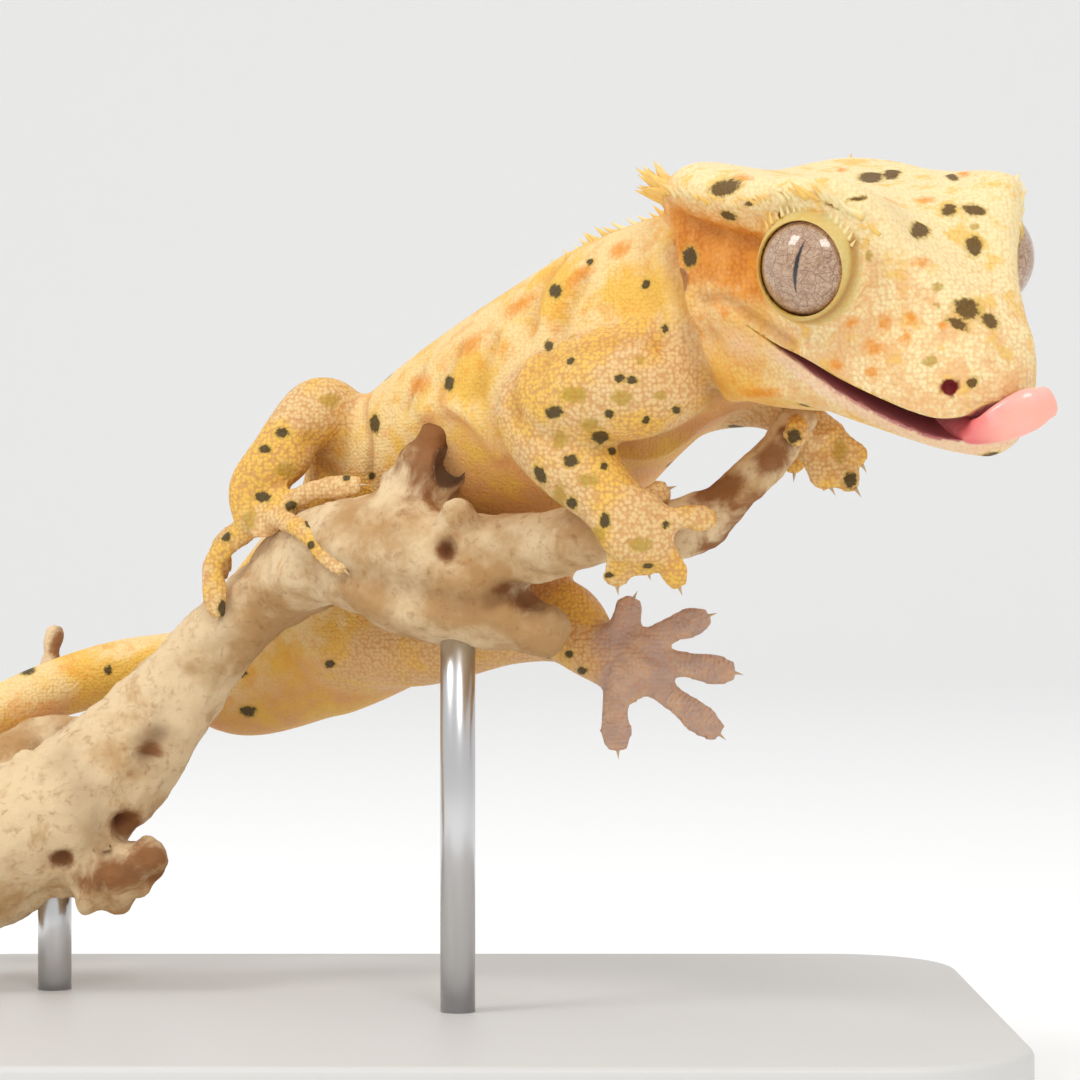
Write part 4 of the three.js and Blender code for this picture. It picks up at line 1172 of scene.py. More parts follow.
@dataclass(frozen=True)
class SkinFinish:
    """Cream and yellow-orange granular skin with dark spots, with painted shade in its creases,
    nostrils and ear pits, and a belly tone that is partly painted shade on the underside.
    """

    cream: Colour = (0.87, 0.64, 0.29)
    yellow: Colour = (0.82, 0.50, 0.09)
    orange: Colour = (0.76, 0.26, 0.012)
    pale: Colour = (0.87, 0.71, 0.38)
    tan: Colour = (0.80, 0.50, 0.23)
    ground: Colour = (0.56, 0.31, 0.13)
    grain: Colour = (0.75, 0.52, 0.25)
    # Belly tone, partly painted shade on the downward-facing underside.
    belly: Colour = (0.72, 0.34, 0.12)
    sole: Colour = (0.50, 0.34, 0.27)
    rosy: Colour = (0.62, 0.40, 0.27)
    lid: Colour = (0.60, 0.47, 0.15)
    olive: Colour = (0.42, 0.27, 0.025)
    dark: Colour = (0.045, 0.028, 0.008)
    brown: Colour = (0.100, 0.044, 0.003)
    halo: Colour = (0.56, 0.36, 0.05)
    temple: Colour = (0.64, 0.22, 0.012)
    temple_gap: Colour = (0.50, 0.12, 0.004)
    # Painted shade along the skin's creases and in the ear pits.
    crease_shade: Colour = (0.34, 0.10, 0.02)
    mouth: Colour = (0.42, 0.13, 0.13)
    lip: Colour = (0.85, 0.60, 0.42)
    # Painted shade inside the nostrils.
    nostril_shade: Colour = (0.16, 0.005, 0.005)
    coarse_scale: float = 2500.0
    fine_scale: float = 3000.0
    lamella_pitch: float = 0.42

    def face(self, n: Nodes, streak: Value, gap: Value) -> Value:
        """The head's colour, pale on top and mottled with tan on the face."""
        tanned = n.between(n.noise(330, 4, 0.65), 0.44, 0.60) * n["face"]
        colour = n.mix(tanned, self.pale, self.tan)
        colour = n.mix(n.between(streak, 0.52, 0.66) * 0.75, colour, self.yellow)
        return n.mix(gap * (n["face"] * 0.4), colour, self.tan)

    def material(self) -> bpy.types.Material:
        """Builds the finish."""
        n = Nodes("gecko_skin")
        blotch = n.noise(150, 4, 0.6)
        streak = n.noise(420, 3, 0.6)
        pebble = n.mix(n["coarse"], n.cells(self.fine_scale), n.cells(self.coarse_scale))
        gap = n.between(pebble, 0.34, 0.70)
        base = n.mix(n.between(blotch, 0.42, 0.58), self.cream, self.yellow)
        base = n.mix(n.between(streak, 0.50, 0.66) * 0.38, base, self.orange)
        base = n.mix(n["pale"], base, self.face(n, streak, gap))
        granule = n.mix(n.between(blotch, 0.45, 0.6), self.grain, self.yellow)
        base = n.mix(n["limb"], base, n.mix(gap * 0.8, granule, self.ground))
        # Belly tone, partly painted shade: darker where the trunk's skin faces down.
        base = n.mix(n["belly"], base,
                     n.mix(n.between(blotch, 0.40, 0.66), self.belly, self.yellow))
        base = n.mix(n["sole"], base, n.mix(n.between(streak, 0.42, 0.62), self.sole, self.rosy))
        ragged = (n.noise(1900, 4, 0.7) - 0.5) * 0.8
        base = n.mix(n.between(n["warm"] + ragged, 0.25, 0.75) * 0.85, base, self.orange)
        hot = n["temple"] * n.between(n.noise(500, 4, 0.6), 0.30, 0.62)
        base = n.mix(hot * 0.8, base, n.mix(gap, self.temple, self.temple_gap))
        base = n.mix(n.between(n["olive"] + ragged, 0.40, 0.70) * 0.75, base, self.olive)
        base = n.mix(n["lip"], base, self.lip)
        base = n.mix(n["lid"] * 0.85, base, self.lid)
        base = n.mix(gap * 0.16, base, self.orange)
        # Painted shade along the creases and in the ear pits.
        base = n.mix(n["crease_shade"], base, self.crease_shade)
        spot = n["spot"] + ragged
        base = n.mix(n.between(spot, 0.20, 0.46) * 0.55, base, self.halo)
        base = n.mix(n.between(spot, 0.42, 0.62) * 0.92, base,
                     n.mix(n["pale"], self.dark, self.brown))
        base = n.mix(n["mouth"], base, self.mouth)
        # Painted shade inside the nostrils.
        base = n.mix(n["nostril_shade"], base, self.nostril_shade)
        dry = 1.0 - n.math("MAXIMUM", n["mouth"], n["lid"])
        normal = n.bump((1.0 - n.math("POWER", pebble, 2.0)) * dry, 0.16, 0.8)
        ridge = n.math("SINE", n["pad"] * (2 * math.pi / self.lamella_pitch)) * n["pads"]
        normal = n.node("Bump",
                        {"Distance": 0.06 * MM, "Strength": 0.6, "Height": ridge, "Normal": normal})
        normal = n.grain(2600, 4, 0.65, 0.0, 0.05, 0.45, normal)[1]
        return n.shade(Base_Color=base, Roughness=0.55 - n["mouth"] * 0.3, Normal=normal,
                       Specular_IOR_Level=0.28, Subsurface_Weight=0.10, Subsurface_Scale=0.8 * MM,
                       Subsurface_Radius=(1.0, 0.45, 0.2))


@dataclass(frozen=True)
class SpineFinish:
    """Pale yellow spines."""

    colour: Colour = (0.86, 0.55, 0.14)
    pale: Colour = (0.86, 0.70, 0.36)

    def material(self) -> bpy.types.Material:
        """Builds the finish."""
        n = Nodes("spines")
        return n.shade(Base_Color=n.mix(n.between(n.noise(260, 2), 0.45, 0.6), self.colour,
                                        self.pale),
                       Roughness=0.5, Subsurface_Weight=0.1, Subsurface_Scale=0.4 * MM)


@dataclass(frozen=True)
class EyeFinish:
    """Veined beige iris with a slit pupil under a clear, wet cornea."""

    iris: Colour = (0.40, 0.24, 0.14)
    pale: Colour = (0.53, 0.37, 0.24)
    vein: Colour = (0.17, 0.055, 0.025)
    rim: Colour = (0.07, 0.022, 0.012)
    pupil: Colour = (0.004, 0.003, 0.003)
    pupil_half_height: float = 0.46
    pupil_half_width: float = 0.034

    def material(self) -> bpy.types.Material:
        """Builds the finish on the stored eye coordinates: x across, y up, z the way it looks."""
        n = Nodes("gecko_eye")
        local = n.attribute("eye", "Vector")
        x, y = (n.node("SeparateXYZ", {0: local}, axis) for axis in "XY")
        out = n.math("SQRT", x * x + y * y)
        safe = n.math("MAXIMUM", out, 0.05)
        rays = n.node("CombineXYZ", {0: x / safe * 2.6, 1: y / safe * 2.6, 2: out * 2.2})
        wander = n.noise(5.0, 4, 0.6, 1.5, local)
        colour = n.mix(n.between(wander, 0.35, 0.65), self.iris, self.pale)
        for scale, source, width, depth in ((11.0, local, 0.10, 0.35), (4.6, local, 0.045, 0.65),
                                            (3.4, rays, 0.07, 0.6)):
            vein = 1.0 - n.between(n.cells(scale, "DISTANCE_TO_EDGE", source), 0.0, width)
            colour = n.mix(vein * depth, colour, self.vein)
        colour = n.mix(n.between(out + (wander - 0.5) * 0.12, 0.76, 0.87), colour, self.rim)
        ripple = (n.noise(16.0, 2, 0.5, source=local) - 0.5) * 0.035
        off = n.math("ABSOLUTE", x - y * y * 0.16 + ripple)
        reach = y / self.pupil_half_height
        wide = n.math("SUBTRACT", 1.0, reach * reach, clamp=True) * self.pupil_half_width
        inside = n.math("LESS_THAN", n.math("ABSOLUTE", reach), 1.0)
        colour = n.mix(n.between(off - wide, 0.028, 0.0) * inside * 0.6, colour, self.rim)
        colour = n.mix(n.math("GREATER_THAN", wide, off), colour, self.pupil)
        return n.shade(Base_Color=colour, Roughness=0.35, Specular_IOR_Level=0.5, Coat_Weight=1.0,
                       Coat_Roughness=0.02, Coat_IOR=1.45)


@dataclass(frozen=True)
class PlainFinish:
    """One even colour."""

    name: str
    colour: Colour
    rough: float
    metal: float = 0.0

    def material(self) -> bpy.types.Material:
        """Builds the finish."""
        return Nodes(self.name).shade(Base_Color=self.colour, Roughness=self.rough,
                                      Metallic=self.metal)


@dataclass(frozen=True)
class TongueFinish:
    """Wet pink, paler to the tip."""

    deep: Colour = (0.78, 0.16, 0.16)
    tip: Colour = (0.92, 0.42, 0.32)
    patch: Colour = (0.93, 0.45, 0.42)

    def material(self) -> bpy.types.Material:
        """Builds the finish."""
        n = Nodes("tongue")
        colour = n.mix(n["reach"], self.deep, self.tip)
        colour = n.mix(n.between(n.noise(300, 3, 0.6), 0.5, 0.68) * 0.5, colour, self.patch)
        return n.shade(Base_Color=colour, Roughness=0.3, Coat_Weight=0.5, Coat_Roughness=0.15,
                       Subsurface_Weight=0.25, Subsurface_Scale=1.0 * MM,
                       Subsurface_Radius=(1.0, 0.35, 0.3),
                       Normal=n.grain(2200, 2, 0.5, 0.0, 0.06, 0.5)[1])


@dataclass(frozen=True)
class WoodFinish:
    """Pale sandblasted driftwood with brown bark left in places, and painted shade in its pits and
    cracks and inside the broken stub.
    """

    pale: Colour = (0.72, 0.54, 0.32)
    tan: Colour = (0.47, 0.27, 0.11)
    brown: Colour = (0.24, 0.085, 0.022)
    # Painted shade in the pits and cracks and inside the broken stub.
    hollow_shade: Colour = (0.10, 0.03, 0.008)

    def material(self) -> bpy.types.Material:
        """Builds the finish."""
        n = Nodes("driftwood")
        patch, normal = n.grain(210, 5, 0.65, 0.6, 0.6, 0.5)
        grain, normal = n.grain(900, 5, 0.65, 0.4, 0.22, 0.7, normal)
        base = n.mix(n.between(n.noise(75, 5, 0.62), 0.42, 0.60), self.pale, self.tan)
        base = n.mix(n.between(patch, 0.52, 0.66) * 0.7, base, self.tan)
        base = n.mix(n.between(grain, 0.52, 0.72) * 0.42, base, self.brown)
        bark = n["bark"] + (patch - 0.5) * 1.6
        base = n.mix(n.between(bark, 0.35, 0.75) * 0.9, base, self.brown)
        # Painted shade in the pits and cracks and inside the broken stub.
        base = n.mix(n["hollow_shade"], base, self.hollow_shade)
        return n.shade(Base_Color=base, Roughness=0.82, Specular_IOR_Level=0.25, Normal=normal)


def dress(thing: bpy.types.Object, finish: bpy.types.Material,
          replaced: tuple[str, ...] = ()) -> None:
    """Gives a piece its material and ties it to the frame.

    Args:
        thing: The piece.
        finish: Its material.
        replaced: The nodes it takes the place of.
    """
    shade_smooth(thing.data)
    thing.data.materials.clear()
    thing.data.materials.append(finish)
    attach(thing, "root")
    if replaced:
        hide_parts(*replaced)
    LOG.info("%s: %d points, %d faces", thing.name, len(thing.data.vertices),
             len(thing.data.polygons))


@dataclass
class Skin:
    """One skin over head, trunk, tail and limbs."""

    voxel: float = 0.425
    quick_voxel: float = 0.6
    seed: int = 5
    nodes: tuple[str, ...] = (
        "head", "jaw", "neck", "chest", "belly", "tail_base", "tail_middle", "tail_tip",
        "upper_arm_right", "forearm_right", "hand_right", "upper_arm_left", "forearm_left",
        "hand_left",
        "thigh_right", "shank_right", "foot_right", "thigh_left", "shank_left", "foot_left")

    def flesh(self) -> bpy.types.Object:
        """Melts every shell of flesh into one surface."""
        shells = [Head().shell(), lid(1), lid(-1), TRUNK.shell(320, 72)]
        shells += [ball(eye_centre(side), EYE_RADIUS + LID_SKIN, 48, 32) for side in (1, -1)]
        shells += [limb.shell(90, 40) for limb, _, _ in LIMBS.values()]
        shells += [toe(path, pad).shell(28, 20) for group, pad in TOE_GROUPS for path in group]
        shells += [web(one, two, pad).shell(16, 16) for group, pad in TOE_GROUPS for one,
                   two in webs(group)]
        flesh = joined(shells).mesh("gecko_skin")
        remeshed(flesh, self.voxel)
        return flesh

    def build(self) -> bpy.types.Object:
        """Makes the skin with its folds, mouth, sockets and markings, without its material."""
        flesh = self.flesh()
        mesh = flesh.data
        points, edges = read_points(mesh), read_edges(mesh)
        zones = Zones(points, edges)
        zones.find()
        h = to_head(points)
        rim = np.min([np.abs(np.linalg.norm(points - eye_centre(side), axis=1) - EYE_RADIUS)
                      for side in (1, -1)], axis=0)
        near_eye = 1 - ease(0.8, 1.6, rim)
        points = relax(points, edges, 0.5 * (1 - 0.6 * near_eye), 3)
        points = relax(points, edges, 0.9 * zones["seam"] * (1 - near_eye) * (1 - zones["toes"]),
                       14)
        write_points(mesh, points)
        sight = Sight(mesh)
        # Folds the skin; the shade that comes back is painted shade along the creases.
        points, crease_shade = folded(points, read_normals(mesh), sight, HEAD_FOLDS + BODY_FOLDS)
        points = relax(points, edges, np.full(len(points), 0.3), 1)
        write_points(mesh, points)
        store(mesh, "crease_shade", crease_shade * 0.9)
        self.paint(mesh, points, zones, sight, h)
        cutters = [Head().mouth()]
        cutters += [ball(eye_centre(side), EYE_RADIUS + SOCKET_GAP, 72, 54) for side in (1, -1)]
        cutters += [eye_opening(side) for side in (1, -1)]
        cutters += [ball(from_head(on_side(place, side)), radius, 20, 14)
                    for place, radius in ((NOSTRIL_AT, NOSTRIL_RADIUS), (EAR_AT, EAR_RADIUS))
                    for side in (1, -1)]
        cut_with(flesh, cutters)
        self.line_mouth(flesh.data)
        return flesh

    def paint(self, mesh: bpy.types.Mesh, points: Array, zones: Zones, sight: Sight,
              h: Array) -> None:
        """Stores the markings."""
        normals = read_normals(mesh)
        head = zones["head"]
        legs = np.clip(zones["arm_right"] + zones["arm_left"] + zones["leg_right"]
                       + zones["leg_left"], 0, 1)
        side = np.abs(h[:, 1])
        temple = ease(-21.5, -15.5, h[:, 0]) * ease(-1.0, -6, h[:, 0]) * ease(7.0, 10.0, side)
        temple = temple * ease(-5.5, -1.2, h[:, 2]) * ease(4.8, 1.8, h[:, 2]) * head
        # Where the skin faces down; the belly tone there is partly painted shade.
        low = ease(0.15, 0.75, -normals[:, 2])
        cheek = head * ease(-1.0, -7.0, h[:, 0]) * ease(0.0, -4.0, h[:, 2])
        free = (normals[:, 1] >= -0.15) & (zones["toes"] < 0.3)
        spots = np.maximum(marked(points, sight, DARK_MARKS) * 1.08,
                           sprinkled(points, 70, (0.35, 0.85), self.seed, free))
        olive = np.maximum(marked(points, sight, OLIVE_MARKS),
                           sprinkled(points, 50, (0.5, 1.1), self.seed + 1, free & (legs > 0.5)))
        warm = np.maximum(marked(points, sight, ORANGE_MARKS),
                          sprinkled(points, 60, (0.7, 2.0), self.seed + 2, free))
        warm = np.maximum(warm * 0.8, np.maximum(temple * 0.72, cheek * 0.42))
        lids = np.zeros(len(points))
        for side_sign in (1, -1):
            off = points - eye_centre(side_sign)
            axis = eye_axis(side_sign)
            forward = off @ axis
            around = np.sqrt(np.maximum(np.sum(off ** 2, axis=1) - forward ** 2, 0))
            lids = np.maximum(lids, ease(5.0, 4.6, around) * ease(0.9, 1.6, forward))
        under_jaw = head * ease(-9.0, -11.5, h[:, 2])
        sole = zones["leg_left"] * zones["toes"]
        along, near = np.zeros(len(points)), np.full(len(points), FAR)
        for path in LEFT_FOOT_TOES:
            line = smooth_path(np.array(path), np.linspace(0, 1, 60))
            reach = np.concatenate([[0.0],
                                    np.cumsum(np.linalg.norm(np.diff(line, axis=0), axis=1))])
            for place, far in zip(line, reach):
                gap = np.linalg.norm(points - place, axis=1)
                along, near = np.where(gap < near, far, along), np.minimum(gap, near)
        values = {
            "pale": head * (1 - temple) * (1 - 0.5 * under_jaw) * (1 - 0.8 * cheek),
            "face": head * ease(6.0, 3.5, h[:, 2] + 0.35 * np.clip(h[:, 0], 0, 20)),
            "temple": temple,
            "limb": legs * 0.85,
            "coarse": np.clip(head + legs, 0, 1),
            # Belly tone, partly painted shade on the downward-facing underside.
            "belly": np.clip(zones["trunk"] * low * 0.9 + zones["leg_left"] * 0.6, 0, 1)
            * (1 - legs * 0.4),
            "sole": sole,
            "pad": along,
            "pads": sole * ease(3.0, 4.5, along) * ease(1.9, 1.2, near),
            "spot": spots,
            "olive": olive,
            "warm": warm,
            "lip": np.zeros(len(points)),
            "lid": lids,
        }
        for name, value in values.items():
            store(mesh, name, value)

    def line_mouth(self, mesh: bpy.types.Mesh) -> None:
        """Colours the cut surfaces: mouth lining and lips, with painted shade in the nostrils and
        ear pits.
        """
        points = read_points(mesh)
        h = to_head(points)
        head = Head()
        lips = head.lips()
        outline = np.column_stack([lips[:, 0], np.zeros(len(lips)), lips[:, 1]])
        outline = smooth_path(outline, np.linspace(0, 1, 900), closed=True)
        flat = np.column_stack([h[:, 0], np.zeros(len(h)), h[:, 2]])
        in_head = (h[:, 0] > -4) & (h[:, 0] < 17) & (h[:, 2] > -13) & (np.abs(h[:, 1]) < 11)
        away = np.full(len(points), FAR)
        away[in_head] = nearest(flat[in_head], outline)
        reach = head.read(head.lip_y, h[:, 0]) - 0.15
        inner = ease(0.3, -0.3, np.abs(h[:, 1]) - reach)
        store(mesh, "mouth", np.where(away < 0.14, inner, 0.0))
        low = np.interp(h[:, 0], [p[0] for p in head.lower_lip[::-1]],
                        [p[1] for p in head.lower_lip[::-1]])
        band = (ease(-1.7, -1.1, h[:, 2] - low) * (h[:, 2] < low + 0.1) * in_head
                * ease(-5, -1, h[:, 0]))
        corner = bell(np.hypot((h[:, 0] + 7) / 3.0, (h[:, 2] + 7.2) / 1.6), 0.0,
                      1.0) * (np.abs(h[:, 1]) > 7)
        store(mesh, "lip", np.clip(0.75 * band + 0.5 * corner, 0, 1))
        hole, pit = (np.min([np.linalg.norm(h - on_side(place, side), axis=1) for side in (1, -1)],
                            axis=0)
                     for place in (NOSTRIL_AT, EAR_AT))
        # Painted shade on the walls of the nostril holes.
        store(mesh, "nostril_shade", (hole < NOSTRIL_RADIUS + 0.09).astype(float))
        # Painted shade in the ear pits.
        store(mesh, "crease_shade", np.where(pit < EAR_RADIUS + 0.1, 0.8, stored(mesh, "crease_shade")))


def spine_tree() -> bpy.types.GeometryNodeTree:
    """Geometry nodes that stand a bent cone on every point, by its stored aim and size."""
    tree = bpy.data.node_groups.new("spines", "GeometryNodeTree")
    for name, kind in (("Geometry", "Geometry"), ("Slimness", "Float"), ("Bend", "Float"),
                       ("Finish", "Material")):
        tree.interface.new_socket(name, in_out="INPUT", socket_type="NodeSocket" + kind)
    tree.interface.new_socket("Geometry", in_out="OUTPUT", socket_type="NodeSocketGeometry")
    given = tree.nodes.new("NodeGroupInput").outputs

    def add(kind: str, inputs: dict[str | int, Given], output: str | int = 0, **settings: object
            ) -> bpy.types.NodeSocket:
        return wired(tree, kind, inputs, output, **settings)

    cone = add("GeometryNodeMeshCone", {"Vertices": 7, "Side Segments": 5, "Radius Top": 0.0,
                                        "Radius Bottom": 1.0, "Depth": 1.0}, "Mesh")
    height = add("ShaderNodeSeparateXYZ", {0: add("GeometryNodeInputPosition", {})}, 2)
    square = add("ShaderNodeMath", {0: height, 1: height}, operation="MULTIPLY")
    bend = add("ShaderNodeMath", {0: square, 1: given["Bend"]}, operation="MULTIPLY")
    bent = add("GeometryNodeSetPosition",
               {"Geometry": cone, "Offset": add("ShaderNodeCombineXYZ", {0: bend})})
    aim = add("GeometryNodeInputNamedAttribute", {"Name": "aim"}, data_type="FLOAT_VECTOR")
    size = add("GeometryNodeInputNamedAttribute", {"Name": "size"}, data_type="FLOAT")
    turn = add("FunctionNodeAlignRotationToVector", {"Vector": aim}, axis="Z")
    thin = add("ShaderNodeMath", {0: size, 1: given["Slimness"]}, operation="MULTIPLY")
    scale = add("ShaderNodeCombineXYZ", {0: thin, 1: thin, 2: size})
    stood = add("GeometryNodeInstanceOnPoints", {"Points": given["Geometry"], "Instance": bent,
                                                 "Rotation": turn, "Scale": scale})
    coat = add("GeometryNodeSetMaterial",
               {"Geometry": add("GeometryNodeRealizeInstances", {0: stood}),
                "Material": given["Finish"]})
    tree.links.new(coat, tree.nodes.new("NodeGroupOutput").inputs[0])
    return tree


def grown(name: str, places: Array, aims: Array, sizes: Array, slimness: float, bend: float,
          finish: bpy.types.Material, tree: bpy.types.GeometryNodeTree) -> bpy.types.Object:
    """Grows a bent cone on each place.

    Args:
        name: The piece's name.
        places: Roots in the animal's frame.
        aims: The way each points.
        sizes: Their lengths in mm.
        slimness: Half width for each unit of length.
        bend: How far a tip leans, for each unit of length.
        finish: The material.
        tree: The geometry nodes.

    Returns:
        One joined mesh.
    """
    thing = Shell(places, []).mesh(name)
    store_vectors(thing.data, "aim", unit(aims))
    store(thing.data, "size", sizes * MM)
    grow = thing.modifiers.new("grow", "NODES")
    grow.node_group = tree
    values = {"Slimness": slimness, "Bend": bend, "Finish": finish}
    for socket in tree.interface.items_tree:
        if socket.in_out == "INPUT" and socket.name in values:
            grow[socket.identifier] = values[socket.name]
    apply_modifiers(thing)
    return thing


@dataclass
class Spines:
    """The crest's fringe and the rows along the back, standing on the skin."""

    crest_count: int = 58
    cluster_count: int = 14
    brow_count: int = 17
    row_count: int = 60
    row_angle: float = 27.0
    slimness: float = 0.22
    bend: float = 0.25
    sunk: float = 0.35
    seed: int = 11

    def roots(self) -> tuple[Array, Array, Array]:
        """Places, ways and lengths of all spines."""
        chance = np.random.default_rng(self.seed)
        head = Head()
        places, aims, sizes = [], [], []

        def add(place: Array, aim: Array, size: float) -> None:
            places.append(place)
            aims.append(aim)
            sizes.append(size)

        for side in (1, -1):
            for i in range(self.crest_count):
                u = i / (self.crest_count - 1)
                x = -20.2 + 25.5 * u ** 1.15
                y, z = head.brim(x)
                up, out = chance.normal(0, 0.25), chance.normal(0, 0.2)
                aim = HEAD_AXES @ np.array([-0.45 + chance.normal(0, 0.25), side * (0.75 + out),
                                            0.55 + up])
                size = (0.65 + 1.5 * bell(u, 0.0, 0.16)
                        + 0.9 * bell(u, 0.9, 0.14)) * chance.uniform(0.5, 1.5)
                add(from_head(np.array([x, side * (y - 0.1), z + chance.normal(0, 0.15)])), aim,
                    size)
            for _ in range(self.cluster_count):
                x = chance.uniform(-20.4, -16.5)
                y, z = head.brim(x)
                y, z = y - chance.uniform(0.0, 1.2), z + chance.uniform(0.0, 0.9)
                aim = HEAD_AXES @ np.array([-0.8 + chance.normal(0, 0.3), side * 0.75,
                                            0.85 + chance.normal(0, 0.45)])
                add(from_head(np.array([x, side * y, z])), aim, chance.uniform(1.5, 3.6))
            axis = eye_axis(side)
            over, top = across_and_up(axis)
            for i in range(self.brow_count):
                a = math.radians(35 + 110 * i / (self.brow_count - 1))
                way = over * math.cos(a) + top * math.sin(a)
                place = eye_centre(side) + axis * 2.1 + way * (LID_RADIUS + 0.75)
                add(place, way + axis * 0.3 + HEAD_AXES[:, 2] * 0.6 + chance.normal(0, 0.2, 3),
                    chance.uniform(0.4, 0.9))
        for side in (1, -1):
            t = np.linspace(0.045, 0.42, self.row_count)
            angle = np.radians(90 + side * (self.row_angle + chance.normal(0, 1.5, len(t))))
            at = TRUNK.surface(t, angle)
            outward = unit(TRUNK.surface(t, angle, 1.0) - at)
            along = TRUNK.axes(t)[0]
            for place, way, on, u in zip(at, outward, along, np.linspace(0, 1, len(t))):
                add(place - way * 0.15, way + on * (0.6 + chance.normal(0, 0.2)),
                    (1.5 - 0.75 * u) * chance.uniform(0.65, 1.25))
        return np.array(places), np.array(aims), np.array(sizes)

    def build(self, finish: bpy.types.Material,
              tree: bpy.types.GeometryNodeTree) -> bpy.types.Object:
        """Makes the spines."""
        places, aims, sizes = self.roots()
        return grown("crest_spines", places - unit(aims) * self.sunk, aims, sizes + self.sunk,
                     self.slimness, self.bend, finish, tree)


@dataclass
class Claws:
    """One claw at each toe's tip."""

    length: float = 1.0
    slimness: float = 0.2
    bend: float = 0.35

    def build(self, finish: bpy.types.Material,
              tree: bpy.types.GeometryNodeTree) -> bpy.types.Object:
        """Makes the claws."""
        tips = np.array([path[2] for group, _ in TOE_GROUPS for path in group])
        before = np.array([path[1] for group, _ in TOE_GROUPS for path in group])
        aims = unit(tips - before)
        return grown("claws", tips + aims * 0.1, aims, np.full(len(tips), self.length),
                     self.slimness, self.bend, finish, tree)


@dataclass
class Eye:
    """An eyeball with stored eye coordinates."""

    side: int
    pupil_pixel: Pixel = (796.0, 267.0)

    def build(self) -> bpy.types.Object:
        """Makes the ball, its pole where the eye looks."""
        axis = self.looks()
        over, up = across_and_up(axis)
        across = over * self.side
        made = ball(np.zeros(3), 1.0, 112, 72)
        basis = np.stack([-over, up, axis], axis=1)
        turned = Shell(made.points @ basis.T * EYE_RADIUS + eye_centre(self.side), made.faces)
        thing = turned.mesh("eyeball_left" if self.side > 0 else "eyeball_right")
        local = np.stack([made.points @ basis.T @ across, made.points @ basis.T @ up,
                          made.points[:, 2]], axis=1)
        store_vectors(thing.data, "eye", local)
        return thing

    def looks(self) -> Array:
        """The way the pupil points: at its pixel in the right eye, straight out of the left."""
        return eye_normal(self.pupil_pixel) if self.side < 0 else eye_axis(1)


@dataclass
class Tongue:
    """The tongue, out between the lips on the near side and curled up over the snout."""

    stations: tuple[tuple[float, ...], ...] = (
        (8.0, -0.8, -9.7, 1.2, 0.5, 0.5, 0), (12.5, -2.0, -10.1, 1.1, 0.6, 0.6, 0),
        (15.0, -2.7, -9.6, 1.1, 0.7, 0.7, 0), (16.7, -1.7, -8.4, 1.6, 0.8, 0.8, 0),
        (17.6, -0.1, -7.3, 1.7, 0.8, 0.8, 0), (18.0, 1.3, -6.7, 1.3, 0.7, 0.7, 0))
    facing: Point = (0.787, -0.555, 0.269)

    def build(self) -> bpy.types.Object:
        """Makes the tongue."""
        sweep = Sweep(list(self.stations), self.facing, square=2.4)
        made = sweep.shell(60, 40)
        thing = Shell(from_head(made.points), made.faces).mesh("tongue_flesh")
        store(thing.data, "reach", ease(14.5, 18.0, made.points[:, 0]))
        return thing


# The wood's folds. The fourth number, where given, is the painted shade in that pit or crack.
WOOD_FOLDS = (
    Fold(((450, 474), (451, 460), (450, 446)), -1.3, 1.0, 1.0),
    Fold(((385, 478), (405, 455), (425, 430)), 0.3, 0.8),
    Fold(((446, 548), (447, 552)), -0.8, 0.8, 0.9),
    Fold(((124, 823), (126, 826)), -1.4, 1.0, 1.0),
    Fold(((63, 859), (60, 861)), -0.9, 0.8, 0.6),
    Fold(((147, 754), (150, 742), (160, 735)), -0.5, 1.2, 0.6),
    Fold(((395, 505), (420, 540), (460, 580), (500, 610)), 0.5, 1.6),
    Fold(((300, 560), (350, 575), (410, 590), (470, 605)), -0.6, 1.5, 0.2),
    Fold(((490, 600), (515, 590), (535, 605)), -0.6, 1.1, 0.5),
    Fold(((60, 760), (90, 800), (100, 850)), -0.6, 1.8, 0.25),
    Fold(((20, 762), (26, 758)), 0.9, 0.9),
)
BARK_MARKS = marks(
    (720, 490, 40, 14, -28), (770, 460, 26, 16, -45), (790, 436, 14, 14), (425, 458, 52, 34, -45),
    (150, 750, 16, 12), (124, 825, 16, 14), (120, 875, 40, 22, -10), (65, 700, 55, 30, -20),
    (525, 600, 22, 12, -10), (62, 858, 14, 10), (500, 590, 12, 8), (20, 700, 40, 40),
    (60, 640, 10, 20), (465, 450, 16, 30), (446, 550, 12, 10), (150, 860, 24, 24),
)


